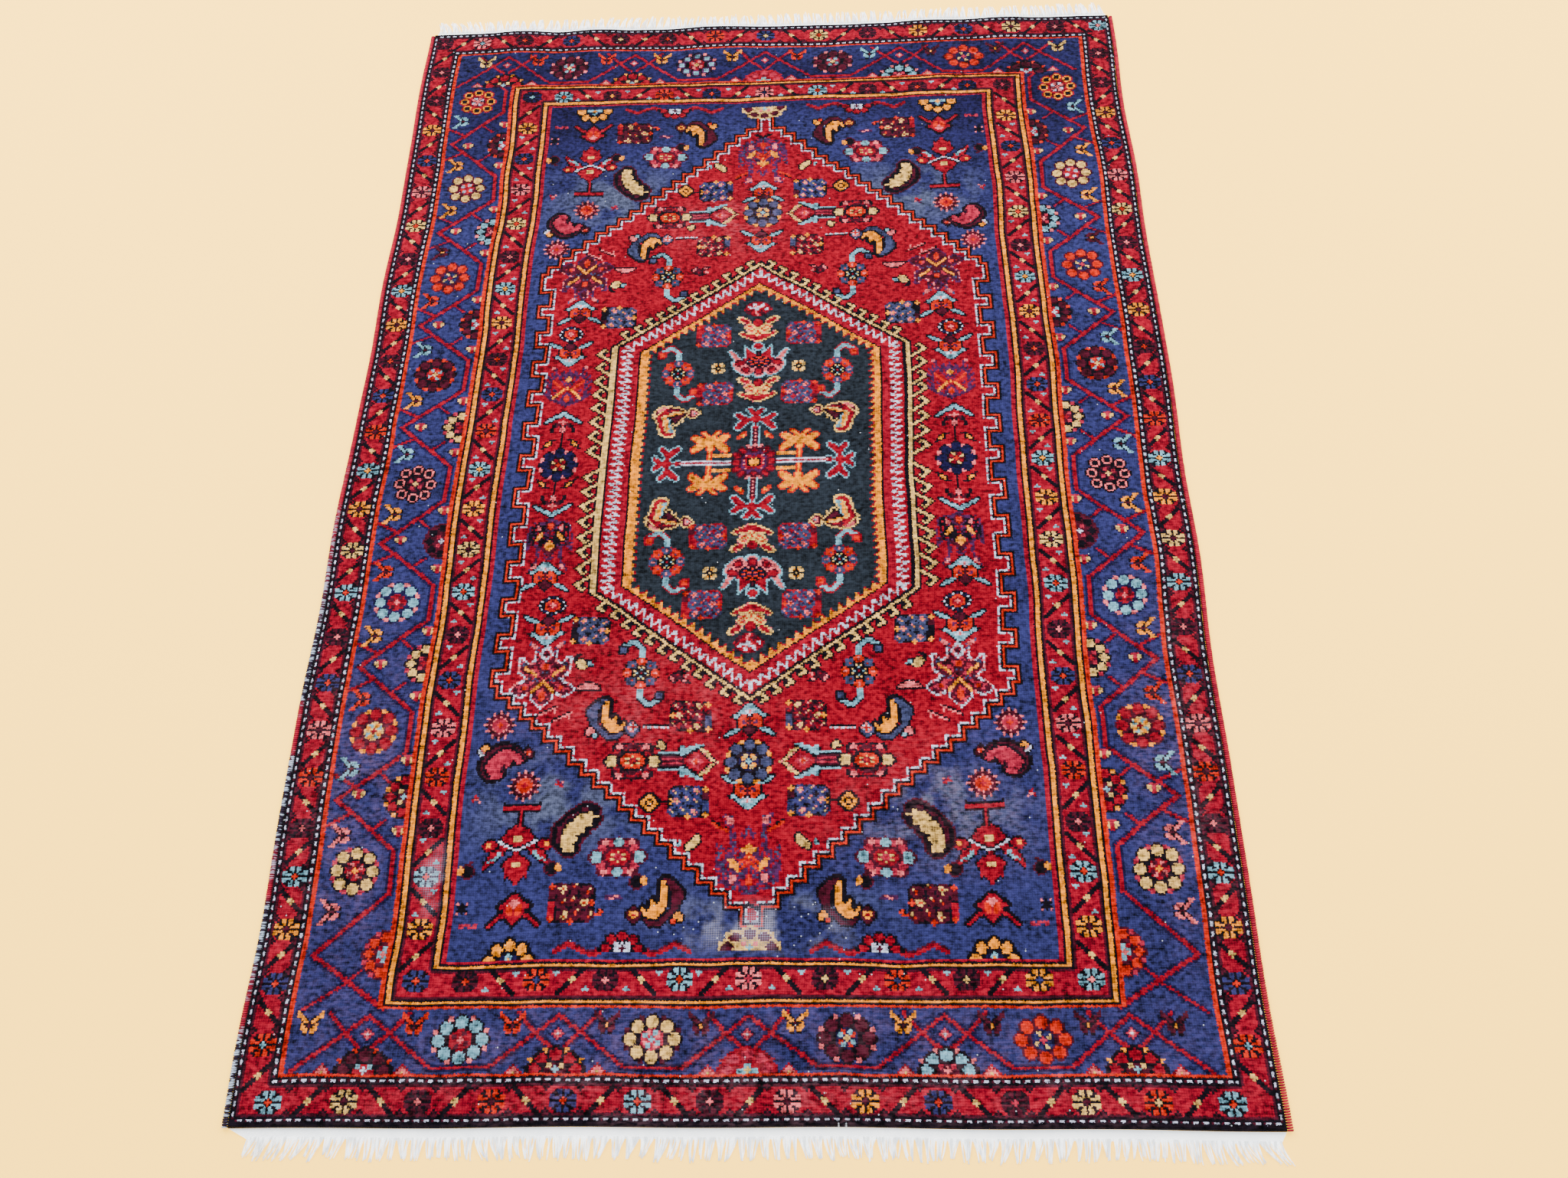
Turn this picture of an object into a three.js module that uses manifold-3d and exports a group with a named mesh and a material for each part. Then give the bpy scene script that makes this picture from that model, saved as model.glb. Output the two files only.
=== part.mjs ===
// A hand-knotted wool rug with a plain-woven cotton strip and a short fringe at each end.
// It lies on the floor, a little uneven along its edges and rippled at its far end.
// Sizes are in millimetres. X runs across the rug, Y along it towards the far end, Z up.
// The origin is on the floor, under the middle of the whole rug.
import * as THREE from "three";
import { mergeVertices } from "three/addons/utils/BufferGeometryUtils.js";
import Module from "manifold-3d";

const wasm = await Module();
wasm.setup();

// Driving dimensions
const pileWidth = 1304;
const pileLength = 1990;
const pileThickness = 9;
const seam = 0.3; // the gap that neighbouring pieces keep
const columns = 34; // steps across the pile
const rows = 24; // steps along it, closer together towards the far end
const rowCrowding = 1.35;

const selvedge = { width: 8, height: 6.4, sides: 8 };

const locksPerEnd = 112;
const lock = { rootWidth: 3.4, rootHeight: 1.5, tipShare: 0.35, sides: 3, steps: 2, inStrip: 3 };

// The two ends: the woven strip's width, how far its outer edge is tucked in at each corner,
// and the shortest and longest lock of its fringe.
const stripThickness = 1.8;
const ends = {
  front: { side: -1, strip: 13, tuckLeft: 26, tuckRight: 8, shortest: 19, longest: 26 },
  back: { side: 1, strip: 12, tuckLeft: 6, tuckRight: 6, shortest: 24, longest: 32 },
};

// How far each edge wanders from straight: a row for each wave, with its reach, its length
// and the place along the edge where it starts.
const waves = {
  left: [
    { reach: 2.4, length: 1560, start: 120 },
    { reach: 1.6, length: 430, start: 40 },
    { reach: 0.7, length: 250, start: -70 },
  ],
  right: [
    { reach: 2.2, length: 1340, start: -210 },
    { reach: 1.5, length: 390, start: 90 },
    { reach: 0.7, length: 270, start: 10 },
  ],
  front: [
    { reach: 1.5, length: 1500, start: -380 },
    { reach: 0.8, length: 340, start: 25 },
  ],
  back: [
    { reach: 1.8, length: 1180, start: 260 },
    { reach: 0.8, length: 300, start: -60 },
  ],
};

// The ripples that lift the far end: where each one is, its height and its half width.
const ripples = [
  { x: -477, height: 5.0, halfWidth: 84 },
  { x: -333, height: 3.8, halfWidth: 80 },
  { x: -103, height: 5.6, halfWidth: 110 },
  { x: 313, height: 2.6, halfWidth: 96 },
  { x: 450, height: 4.4, halfWidth: 90 },
];
const rippleReach = { onPile: 190, onFringe: 44 };

// How the fringe combs over sideways: where, how far at the tips, and half the width of the tuft.
const leans = {
  front: [
    { x: -590, reach: -11, halfWidth: 170 },
    { x: -330, reach: 5, halfWidth: 90 },
    { x: -120, reach: -4, halfWidth: 120 },
    { x: 110, reach: 5, halfWidth: 110 },
    { x: 350, reach: -4, halfWidth: 130 },
    { x: 650, reach: 14, halfWidth: 170 },
  ],
  back: [
    { x: -650, reach: -12, halfWidth: 190 },
    { x: -280, reach: 5, halfWidth: 140 },
    { x: 40, reach: -4, halfWidth: 130 },
    { x: 330, reach: 4, halfWidth: 120 },
    { x: 560, reach: -3, halfWidth: 90 },
  ],
};
const leanScatter = 1.4;

// Small helpers
const sumOfWaves = (table, along) =>
  table.reduce((sum, w) => sum + w.reach * Math.sin((2 * Math.PI * (along - w.start)) / w.length), 0);
const hump = (share) => Math.cos((Math.PI / 2) * THREE.MathUtils.clamp(share, -1, 1)) ** 2;
const sumOfHumps = (table, size, x) =>
  table.reduce((sum, h) => sum + h[size] * hump((x - h.x) / h.halfWidth), 0);
const scatter = (seed) => {
  const value = Math.sin(seed * 127.1) * 43758.5453;
  return value - Math.floor(value);
};

// How high a ripple holds the rug off the floor at one place.
function lift(x, y) {
  const beyond = y - pileLength / 2;
  const along = hump(beyond / (beyond > 0 ? rippleReach.onFringe : rippleReach.onPile));
  return along * sumOfHumps(ripples, "height", x);
}

// Moves a point of the straight rug to where it lies on the floor.
function settle(point) {
  const across = point.x / pileWidth + 0.5;
  const along = point.y / pileLength + 0.5;
  const sideways = THREE.MathUtils.lerp(
    sumOfWaves(waves.left, point.y), sumOfWaves(waves.right, point.y), across);
  const lengthways = THREE.MathUtils.lerp(
    sumOfWaves(waves.front, point.x), sumOfWaves(waves.back, point.x), along);
  point.z += lift(point.x, point.y);
  point.x += sideways;
  point.y += lengthways;
}

// Crowds evenly spaced rows towards the far end.
function crowdRows(point) {
  const share = THREE.MathUtils.clamp(point.y / pileLength + 0.5, 0, 1);
  point.y = (0.5 - (1 - share) ** rowCrowding) * pileLength;
}

// Runs each step in turn on every point of a geometry.
function reshape(geometry, ...steps) {
  const places = geometry.getAttribute("position");
  const point = new THREE.Vector3();
  for (let i = 0; i < places.count; i += 1) {
    point.fromBufferAttribute(places, i);
    steps.forEach((step) => step(point));
    places.setXYZ(i, point.x, point.y, point.z);
  }
  return geometry;
}

function solid(geometry) {
  const bare = geometry.clone();
  bare.deleteAttribute("normal");
  bare.deleteAttribute("uv");
  const merged = mergeVertices(bare, 1e-3);
  return new wasm.Manifold(new wasm.Mesh({
    numProp: 3,
    vertProperties: new Float32Array(merged.getAttribute("position").array),
    triVerts: new Uint32Array(merged.index.array),
  }));
}

function geometryOf(body) {
  const made = body.getMesh();
  const geometry = new THREE.BufferGeometry();
  geometry.setAttribute("position", new THREE.BufferAttribute(made.vertProperties, 3));
  geometry.setIndex(new THREE.BufferAttribute(made.triVerts, 1));
  return geometry;
}

// The pile: one slab of knotted wool
function pileSlab() {
  const slab = new THREE.BoxGeometry(pileWidth, pileLength, pileThickness, columns, rows, 1);
  slab.translate(0, 0, pileThickness / 2);
  return reshape(slab, crowdRows, settle);
}

// A selvedge: the oval cord of wrapped warps down one long side
function selvedgeCord(side) {
  const cord = new THREE.CylinderGeometry(
    0.5, 0.5, pileLength, selvedge.sides, rows, false, Math.PI / selvedge.sides);
  const flatToFlat = Math.cos(Math.PI / selvedge.sides);
  cord.scale(selvedge.width / flatToFlat, 1, selvedge.height / flatToFlat);
  cord.translate(side * (pileWidth / 2 + seam + selvedge.width / 2), 0, selvedge.height / 2);
  return reshape(cord, crowdRows, settle);
}

// The woven strip at one end, with its outer corners tucked in
function wovenStrip(end) {
  const strip = new THREE.BoxGeometry(pileWidth, end.strip, stripThickness, columns, 1, 1);
  const tuckIn = (point) => {
    const outer = point.y * end.side > 0;
    const left = -pileWidth / 2 + (outer ? end.tuckLeft : 0);
    const right = pileWidth / 2 - (outer ? end.tuckRight : 0);
    point.x = THREE.MathUtils.lerp(left, right, point.x / pileWidth + 0.5);
    point.y += end.side * (pileLength / 2 + seam + end.strip / 2);
    point.z += stripThickness / 2;
  };
  return reshape(strip, tuckIn, settle);
}

// One lock of the fringe: three sides, its flat underside on the floor, narrowing to its tip
function fringeLock(end, lean, index) {
  const seed = index + 1 + (end.side > 0 ? locksPerEnd : 0);
  const long = THREE.MathUtils.lerp(end.shortest, end.longest, scatter(seed)) + lock.inStrip;
  const share = (index + 0.5) / locksPerEnd;
  const root = THREE.MathUtils.lerp(
    -pileWidth / 2 + end.tuckLeft, pileWidth / 2 - end.tuckRight, share);
  const swing = sumOfHumps(lean, "reach", root) + leanScatter * (2 * scatter(seed + 0.5) - 1);
  const prism = new THREE.CylinderGeometry(1, 1, 1, lock.sides, lock.steps, false, 0);
  const rootAt = pileLength / 2 + seam + end.strip - lock.inStrip;
  return reshape(prism, (point) => {
    const out = point.y + 0.5;
    const narrowed = THREE.MathUtils.lerp(1, lock.tipShare, out);
    const height = (point.z + 0.5) / 1.5;
    const aside = (point.x * narrowed * lock.rootWidth) / Math.sqrt(3);
    point.x = root + end.side * aside + swing * out ** 1.6;
    point.y = end.side * (rootAt + long * out);
    point.z = height * narrowed * lock.rootHeight;
  }, settle);
}

function fringe(name) {
  const end = ends[name];
  const locks = Array.from({ length: locksPerEnd }, (_, i) => solid(fringeLock(end, leans[name], i)));
  return geometryOf(wasm.Manifold.union([solid(wovenStrip(end)), ...locks]));
}

// Finishes
const wool = new THREE.MeshStandardMaterial({ color: 0xa5182a, roughness: 0.92, metalness: 0 });
const cordWool = new THREE.MeshStandardMaterial({ color: 0xb8252c, roughness: 0.88, metalness: 0 });
const cotton = new THREE.MeshStandardMaterial({ color: 0xe6e4dd, roughness: 0.9, metalness: 0 });

function piece(name, geometry, material) {
  const mesh = new THREE.Mesh(geometry, material);
  mesh.name = name;
  return mesh;
}

const rug = new THREE.Group();
rug.add(piece("pile", pileSlab(), wool));
rug.add(piece("selvedge_left", selvedgeCord(-1), cordWool));
rug.add(piece("selvedge_right", selvedgeCord(1), cordWool));
rug.add(piece("fringe_front", fringe("front"), cotton));
rug.add(piece("fringe_back", fringe("back"), cotton));

// The origin goes under the middle of the whole rug.
const middle = new THREE.Box3().setFromObject(rug).getCenter(new THREE.Vector3());
rug.position.set(-middle.x, -middle.y, 0);

export default rug;
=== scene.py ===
# %% [markdown]
# # A hand-knotted wool rug
# A rug like this is knotted on a loom: cotton warps run its whole length, and every knot is a tuft
# of dyed wool tied round two of them. The pattern is a chart of knots, the long sides are bound
# with wool, and at both ends the warps are woven into a narrow strip and left as a fringe.
# The lesson goes the same way: first how the rug lies, then the chart, the pile that carries it,
# the bindings, the woven ends, the fringe, and last the yarns, the light and the camera.

import bpy
import numpy as np
from mathutils import Matrix, Vector


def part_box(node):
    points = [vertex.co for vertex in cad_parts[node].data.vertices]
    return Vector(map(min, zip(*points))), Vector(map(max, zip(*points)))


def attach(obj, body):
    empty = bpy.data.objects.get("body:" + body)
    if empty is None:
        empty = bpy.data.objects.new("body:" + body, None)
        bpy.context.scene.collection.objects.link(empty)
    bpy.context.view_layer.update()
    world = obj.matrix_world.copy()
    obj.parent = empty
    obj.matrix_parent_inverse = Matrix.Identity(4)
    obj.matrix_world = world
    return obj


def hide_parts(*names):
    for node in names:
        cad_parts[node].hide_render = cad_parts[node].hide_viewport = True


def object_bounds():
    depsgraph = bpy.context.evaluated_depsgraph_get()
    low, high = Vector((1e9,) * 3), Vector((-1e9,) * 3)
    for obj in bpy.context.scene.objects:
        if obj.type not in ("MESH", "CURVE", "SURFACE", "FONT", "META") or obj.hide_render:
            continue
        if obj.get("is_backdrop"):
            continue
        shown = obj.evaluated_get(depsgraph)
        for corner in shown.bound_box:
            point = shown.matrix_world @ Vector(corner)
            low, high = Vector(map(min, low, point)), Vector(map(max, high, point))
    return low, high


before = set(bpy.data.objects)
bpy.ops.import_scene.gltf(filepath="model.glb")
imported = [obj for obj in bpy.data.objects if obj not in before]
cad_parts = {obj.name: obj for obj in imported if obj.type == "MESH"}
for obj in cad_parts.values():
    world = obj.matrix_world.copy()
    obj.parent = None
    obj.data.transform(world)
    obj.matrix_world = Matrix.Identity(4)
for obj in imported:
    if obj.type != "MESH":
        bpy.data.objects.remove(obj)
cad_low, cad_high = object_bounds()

mm = 0.001

# %% [markdown]
# ## How the rug lies
# No rug lies perfectly straight: its edges wander by a few millimetres, and its far end is held
# up by low ripples. It could be draped by simulation, but stiff wool on a flat floor hardly moves,
# so a few sine waves and humps say where each point goes. Every piece passes through the same
# function, so that they stay together.

# %% Sizes of the straight rug, in millimetres
pile_wide, pile_long, pile_thick = 1304.0, 1990.0, 9.0
seam = 0.3
binding_wide, binding_high = 8.0, 6.4
strip_thick = 1.8
# which way an end points, its woven strip, how far that is tucked in at each corner, its strands
ends = {
    "front": dict(way=-1, strip=13.0, tuck_left=26.0, tuck_right=8.0, shortest=19.0, longest=26.0),
    "back": dict(way=1, strip=12.0, tuck_left=6.0, tuck_right=6.0, shortest=24.0, longest=32.0),
}

# %% Where each point of the straight rug ends up
# reach, length and start of each wave along an edge
edge_waves = {
    "left": ((2.4, 1560, 120), (1.6, 430, 40), (0.7, 250, -70)),
    "right": ((2.2, 1340, -210), (1.5, 390, 90), (0.7, 270, 10)),
    "front": ((1.5, 1500, -380), (0.8, 340, 25)),
    "back": ((1.8, 1180, 260), (0.8, 300, -60)),
}
# place across, height and half width of each ripple
ripples = ((-477, 5.0, 84), (-333, 3.8, 80), (-103, 5.6, 110), (313, 2.6, 96), (450, 4.4, 90))
ripple_on_pile, ripple_on_fringe = 190.0, 44.0


def wander(edge, along):
    return sum(reach * np.sin(2 * np.pi * (along - start) / length)
               for reach, length, start in edge_waves[edge])


def hump(share):
    """1 in the middle, falling smoothly to 0 at -1 and 1."""
    return np.cos(np.pi / 2 * np.clip(share, -1, 1)) ** 2


def humps(table, x):
    return sum(height * hump((x - middle) / half_width) for middle, height, half_width in table)


def settle(points):
    """Moves points of the straight rug, in millimetres, to where they lie on the floor."""
    x, y, z = points.T
    across, along = x / pile_wide + 0.5, y / pile_long + 0.5
    beyond = y - pile_long / 2
    held = hump(beyond / np.where(beyond > 0, ripple_on_fringe, ripple_on_pile))
    ripple = humps(ripples, x)
    return np.column_stack([
        x + wander("left", y) * (1 - across) + wander("right", y) * across,
        y + wander("front", x) * (1 - along) + wander("back", x) * along,
        z + held * ripple,
    ])


# The model is centred by its whole box, so the pile's own middle is a little to one side.
sparse_x = np.linspace(-0.5, 0.5, 35) * pile_wide
sparse_y = (0.5 - (1 - np.linspace(0, 1, 25)) ** 1.35) * pile_long
outline = settle(np.array([(x, y, 0.0) for x in sparse_x for y in sparse_y]))
pile_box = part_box("pile")
shift = np.array([(pile_box[0][axis] + pile_box[1][axis]) / 2 / mm
                  - (outline[:, axis].min() + outline[:, axis].max()) / 2 for axis in (0, 1)] + [0.0])
print("the pile's middle is", shift.round(2), "mm from the origin")

# %% [markdown]
# ## The chart of knots
# A weaver ties the pattern from memory or from squared paper, one yarn to a knot. A picture could
# be wrapped on the slab, but a chart is what the rug is made from, and it stays sharp at any
# distance. So the chart is drawn here as an array with one yarn number to each knot: stripes by
# counting knots, large shapes by distance, and small flowers as squared paper in text.

# %% The yarns
# each yarn's colour as linear red, green and blue
yarns = {
    "black": (0.0023, 0.0015, 0.0033), "navy": (0.0042, 0.0031, 0.0206), "blue": (0.0120, 0.0128, 0.0517),
    "light blue": (0.0752, 0.1763, 0.2189), "teal": (0.0072, 0.0098, 0.0137),
    "crimson": (0.1345, 0.0006, 0.0060), "maroon": (0.0292, 0.0019, 0.0066),
    "purple": (0.0280, 0.0054, 0.0272), "pink": (0.3818, 0.0592, 0.0651),
    "orange": (0.2745, 0.0061, 0.0006), "gold": (0.4500, 0.1300, 0.0003),
    "cream": (0.3660, 0.2128, 0.0547), "white": (0.2683, 0.2808, 0.3619),
    "brick": (0.1462, 0.0011, 0.0082), "rose": (0.1930, 0.0070, 0.0206),
    "slate": (0.0191, 0.0219, 0.0521),
}
number = {name: place for place, name in enumerate(yarns)}
letters = {"k": "black", "n": "navy", "b": "blue", "l": "light blue", "t": "teal", "r": "crimson",
           "m": "maroon", "p": "purple", "i": "pink", "o": "orange", "g": "gold", "c": "cream",
           "w": "white", "s": "brick", "h": "rose", "a": "slate"}
bare = -1  # where a motif leaves the ground showing

# %% The empty chart
columns, rows = 420, 642
edge_x = 660.0  # from the middle to the outside of the binding
knot_x = pile_wide / columns
knot_y = pile_long / rows
column_x = (np.arange(columns) + 0.5) * knot_x - pile_wide / 2
row_y = (np.arange(rows) + 0.5) * knot_y
X, Y = np.meshgrid(column_x, row_y)
chart = np.full(X.shape, number["crimson"])
print("chart:", columns, "by", rows, "knots of", round(knot_x, 2), "by", round(knot_y, 2), "mm")


# %% Drawing on the chart
def near_line(x, y, points):
    """How far each place is from a line through points."""
    nearest = np.full(x.shape, np.inf)
    for (x0, y0), (x1, y1) in zip(points[:-1], points[1:]):
        run_x, run_y = x1 - x0, y1 - y0
        share = np.clip(((x - x0) * run_x + (y - y0) * run_y) / (run_x ** 2 + run_y ** 2), 0, 1)
        nearest = np.minimum(nearest, np.hypot(x - x0 - share * run_x, y - y0 - share * run_y))
    return nearest


def spread(mask):
    """The mask and the knots right beside it."""
    grown = mask.copy()
    grown[1:] |= mask[:-1]
    grown[:-1] |= mask[1:]
    grown[:, 1:] |= mask[:, :-1]
    grown[:, :-1] |= mask[:, 1:]
    return grown


def spread_square(mask):
    """The mask and the knots beside it, corners included."""
    wide = mask | np.roll(mask, 1, axis=1) | np.roll(mask, -1, axis=1)
    return wide | np.roll(wide, 1, axis=0) | np.roll(wide, -1, axis=0)


def paint(where, yarn):
    chart[where] = number[yarn]


def ribbon(points, width, edge, only, both_halves=True):
    """A red line through points in millimetres, with an edge of another yarn if one is named."""
    x = -np.abs(X) if both_halves else X
    distance = near_line(x, Y, points)
    if edge:
        paint((distance <= width / 2 + knot_x) & only, edge)
    paint((distance <= width / 2) & only, "crimson")


# %% Motifs: small charts of their own
class Motif:
    """A small chart drawn from discs, diamonds and lines, counted in knots from its middle."""

    def __init__(self, reach_u, reach_v, mirrored=True):
        self.v, self.u = np.mgrid[-reach_v:reach_v + 1, -reach_u:reach_u + 1].astype(float)
        if mirrored:
            self.u = np.abs(self.u)
        self.yarn = np.full(self.u.shape, bare)

    def fill(self, where, yarn):
        self.yarn[where] = number[yarn]
        return self

    def disc(self, u, v, r, yarn, r_v=None):
        return self.fill(((self.u - u) / r) ** 2 + ((self.v - v) / (r_v or r)) ** 2 <= 1.0, yarn)

    def diamond(self, u, v, r, yarn):
        return self.fill(np.abs(self.u - u) + np.abs(self.v - v) <= r * 1.001, yarn)

    def box(self, u0, v0, u1, v1, yarn):
        return self.fill((self.u >= u0) & (self.u <= u1) & (self.v >= v0) & (self.v <= v1), yarn)

    def line(self, points, width, yarn):
        return self.fill(near_line(self.u, self.v, points) <= width / 2, yarn)

    def petals(self, count, out_u, out_v, r, yarn, first=0.0, whole=False):
        for step in range(count):
            turn = 2 * np.pi * (step + first) / count
            u, v = np.cos(turn) * out_u, np.sin(turn) * out_v
            if whole:
                u, v = round(u), round(v)
            self.disc(u, v, r, yarn)
        return self


def charted(text, **changes):
    """A chart from lines of letters, its last line at the front; a dot leaves the ground bare."""
    lines = text.split()
    yarn = np.full((len(lines), max(len(line) for line in lines)), bare)
    for row, line in enumerate(reversed(lines)):
        for column, letter in enumerate(line):
            if letter != ".":
                yarn[row, column] = number[changes.get(letter) or letters[letter]]
    return yarn


def and_mirrored(text):
    """The whole of a chart that gives its upper half and its middle row."""
    lines = text.split()
    return " ".join(lines + lines[-2::-1])


def half_chart(text, **changes):
    """The same, from a chart of the left half and the middle column."""
    wide = max(len(line) for line in text.split())
    half = charted(" ".join(line.rjust(wide, ".") for line in text.split()), **changes)
    return np.hstack([half, half[:, -2::-1]])


def named(word):
    """The yarns that a word of letters stands for, and None for a dot."""
    return [letters.get(letter) for letter in word]


def entries(text):
    """A table in short form: 57lo is the place 57 with the yarns light blue and orange."""
    table = []
    for word in text.split():
        place = word.rstrip("".join(letters))
        table.append((int(place), *named(word[len(place):])))
    return table


def outlined(yarn, edge="black"):
    """A motif with one knot of another yarn round it."""
    wide = np.pad(yarn, 1, constant_values=bare)
    wide[spread(wide != bare) & (wide == bare)] = number[edge]
    return wide


def larger(yarn, share):
    """The same motif, drawn larger."""
    tall, wide = [((np.arange(int(size * share)) + 0.5) * size / int(size * share)).astype(int)
                  for size in yarn.shape]
    return yarn[np.ix_(tall, wide)]


def speckled(yarn, ground, speck, share, seed=3):
    """The same motif with some knots of its ground in another yarn."""
    chance = np.random.default_rng(seed).random(yarn.shape)
    return np.where((yarn == number[ground]) & (chance < share), number[speck], yarn)


def place(motif, x, y, only=None):
    """Puts a motif on the chart with its middle at a place in millimetres."""
    yarn = motif.yarn if isinstance(motif, Motif) else motif
    tall, wide = yarn.shape
    left = int(round((x + pile_wide / 2) / knot_x - wide / 2))
    low = int(round(y / knot_y - tall / 2))
    first_column, first_row = max(left, 0), max(low, 0)
    last_column, last_row = min(left + wide, columns), min(low + tall, rows)
    if last_column > first_column and last_row > first_row:
        part = yarn[first_row - low:last_row - low, first_column - left:last_column - left]
        area = (slice(first_row, last_row), slice(first_column, last_column))
        keep = part != bare
        if only is not None:
            keep = keep & only[area]
        chart[area][keep] = part[keep]


def stamp(motif, inwards, y, axis=0.0, quarter=0, flip=False, upside=False, only=None):
    """Puts a motif so far in from the left edge, and its mirror image on the right half."""
    yarn = np.rot90(motif.yarn if isinstance(motif, Motif) else motif, quarter)
    if flip:
        yarn = yarn[:, ::-1]
    if upside:
        yarn = yarn[::-1]
    x = inwards - edge_x
    if abs(x - axis) < 12:
        place(yarn, axis, y, only)
    else:
        place(yarn, x, y, only)
        place(yarn[:, ::-1], 2 * axis - x, y, only)


# %% [markdown]
# ### The borders
# Stripes run round the rug one inside the other, and meet in a mitre at each corner. A knot
# belongs to the stripe that its nearer edge gives, so each is numbered once, by counting knots.

# %% The stripes
# yarn, and its width in knots along the sides, across the front and across the back
bands = [
    ("black", 1, 2, 2), ("barber", 1, 1, 1), ("black", 1, 1, 1), ("brick", 12, 12, 12),
    ("black", 1, 1, 1), ("barber", 1, 1, 1), ("black", 1, 1, 1), ("orange", 2, 1, 1),
    ("blue", 35, 26, 28), ("orange", 2, 1, 1), ("black", 1, 1, 1), ("gold", 2, 1, 1),
    ("black", 1, 1, 1), ("brick", 14, 12, 10), ("black", 1, 1, 1), ("gold", 2, 1, 2),
    ("black", 1, 1, 1), ("brick", 2, 1, 1), ("blue", rows, rows, rows),
]
outer_guard, main_band, inner_guard, field_band = 3, 8, 13, 18


def band_at(steps_in, side):
    """The band at so many knots in from an edge."""
    return np.repeat(np.arange(len(bands)), [band[side] for band in bands])[steps_in]


from_side = np.minimum(np.arange(columns), np.arange(columns)[::-1])
side_band = band_at(from_side, 1)
end_band = np.minimum(band_at(np.arange(rows), 2), band_at(np.arange(rows)[::-1], 3))
ring = np.minimum(side_band[None, :], end_band[:, None])
along = np.where(side_band[None, :] <= end_band[:, None], np.arange(rows)[:, None], np.arange(columns))
for index, (yarn, *_) in enumerate(bands):
    here = ring == index
    if yarn == "barber":
        beat = along % 4
        paint(here, "black")
        paint(here & (beat < 2), "white")
        paint(here & (beat == 3), "maroon")
    else:
        paint(here, yarn)
    if index in (outer_guard, inner_guard):
        paint(here & spread(~here), "maroon")
field = ring == field_band
main = ring == main_band

# %% [markdown]
# The red guard stripes carry small rosettes, each of another pair of yarns, and slanting bars
# between them that turn about. The places come from the rug: no two gaps are quite the same.

# %% The guard stripes
rosette_rows = """
..kPPkPPk..
.kkPPkPPkk.
PPkkPkPkkPP
PPPPkCkPPPP
kkkkCCCkkkk
"""
trefoil = charted(".l. lll")
triangle = charted("k.. mk. mmk mk. k..")
slanting_bar = Motif(6, 6, mirrored=False).line([(-6.4, -6.4), (6.4, 6.4)], 1.9, "black")
slanting_bar.diamond(0, 0, 1, "cream").diamond(0.5, 0.5, 1, "cream")


def guard_rosette(petal, heart):
    return charted(and_mirrored(rosette_rows), P=petal, C=heart)


# along both sides, from the back: place, and the letters of petals and heart
side_guard = entries(
    "1958mi 1882mi 1806mh 1729gm 1652bo 1574im 1492co 1416mi 1345lg 1268gm 1192mo 1122bo 1048om 976lg "
    "903gm 829cm 754lo 681mi 607bo 532im 459om 387mi 318lo 247gm 175bo 98ol")
for middle, first, last, guard in ((36, 62, 1944, outer_guard), (219, 205, 1775, inner_guard)):
    here = ring == guard
    rosettes = [row for row in side_guard if first < row[0] < last]
    stamp(slanting_bar, middle, rosettes[0][0] + 39, only=here)
    stamp(slanting_bar, middle, rosettes[-1][0] - 39, flip=len(rosettes) % 2 == 0, only=here)
    for y, petal, heart in rosettes:
        stamp(guard_rosette(petal, heart), middle, y)
    for index, (above, below) in enumerate(zip(rosettes[:-1], rosettes[1:])):
        y = (above[0] + below[0]) / 2
        rising = index % 2 == 0
        stamp(slanting_bar, middle, y, flip=not rising, only=here)
        for side in (-1, 1):
            for end in (-1, 1):
                if guard == outer_guard:
                    stamp(triangle, middle + side * 14, y + end * 20, flip=side > 0)
                elif (side == end) != rising:
                    stamp(trefoil, middle + side * 11, y + end * 15, upside=end > 0)

# across the ends, from the left: the same
front_outer = entries(
    "57lo 152cm 245mi 339om 428bo 521lo 613mi 707im 805gm 895bo 987mh 1073cm 1161oc 1252lo")
back_outer = entries(
    "32mh 107il 189mo 281bo 375mc 467mo 559om 655bc 758co 850mh 947gm 1035bo 1123cm 1207mi 1288li")
front_inner = entries(
    "223bo 290mo 382ob 473mi 567lo 660ih 757mc 852ob 942mc 1033gb 1099li")
back_inner = entries(
    "220nl 280lo 373mg 469om 559bo 657ib 757lo 850mh 943mo 1035bo 1100mh")
for rosettes, y, guard in ((front_outer, 30.5, outer_guard), (back_outer, 1959.5, outer_guard),
                           (front_inner, 177.5, inner_guard), (back_inner, 1810, inner_guard)):
    here = ring == guard
    for at, petal, heart in rosettes:
        place(guard_rosette(petal, heart), at - edge_x, y)
    for index, (left, right) in enumerate(zip(rosettes[:-1], rosettes[1:])):
        if right[0] - left[0] > 70:
            x = (left[0] + right[0]) / 2 - edge_x
            rising = index % 2 == 0
            place(slanting_bar.yarn if rising else slanting_bar.yarn[:, ::-1], x, y, here)
            for side in (-1, 1):
                for high in (-1, 1):
                    if guard == outer_guard:
                        place(np.rot90(triangle, 2 - high), x + side * 24, y + high * 14)
                    elif (side == high) != rising:
                        place(trefoil[::-high], x + side * 19, y + high * 9.5)
print("guard stripes:", len(side_guard), "rosettes a side")

# %% [markdown]
# The wide blue border holds large rosettes of eight petals, caught in a red trellis, with half
# rosettes cut off by its edge between them. Each kind is drawn once, and takes its yarns by letter.

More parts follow.
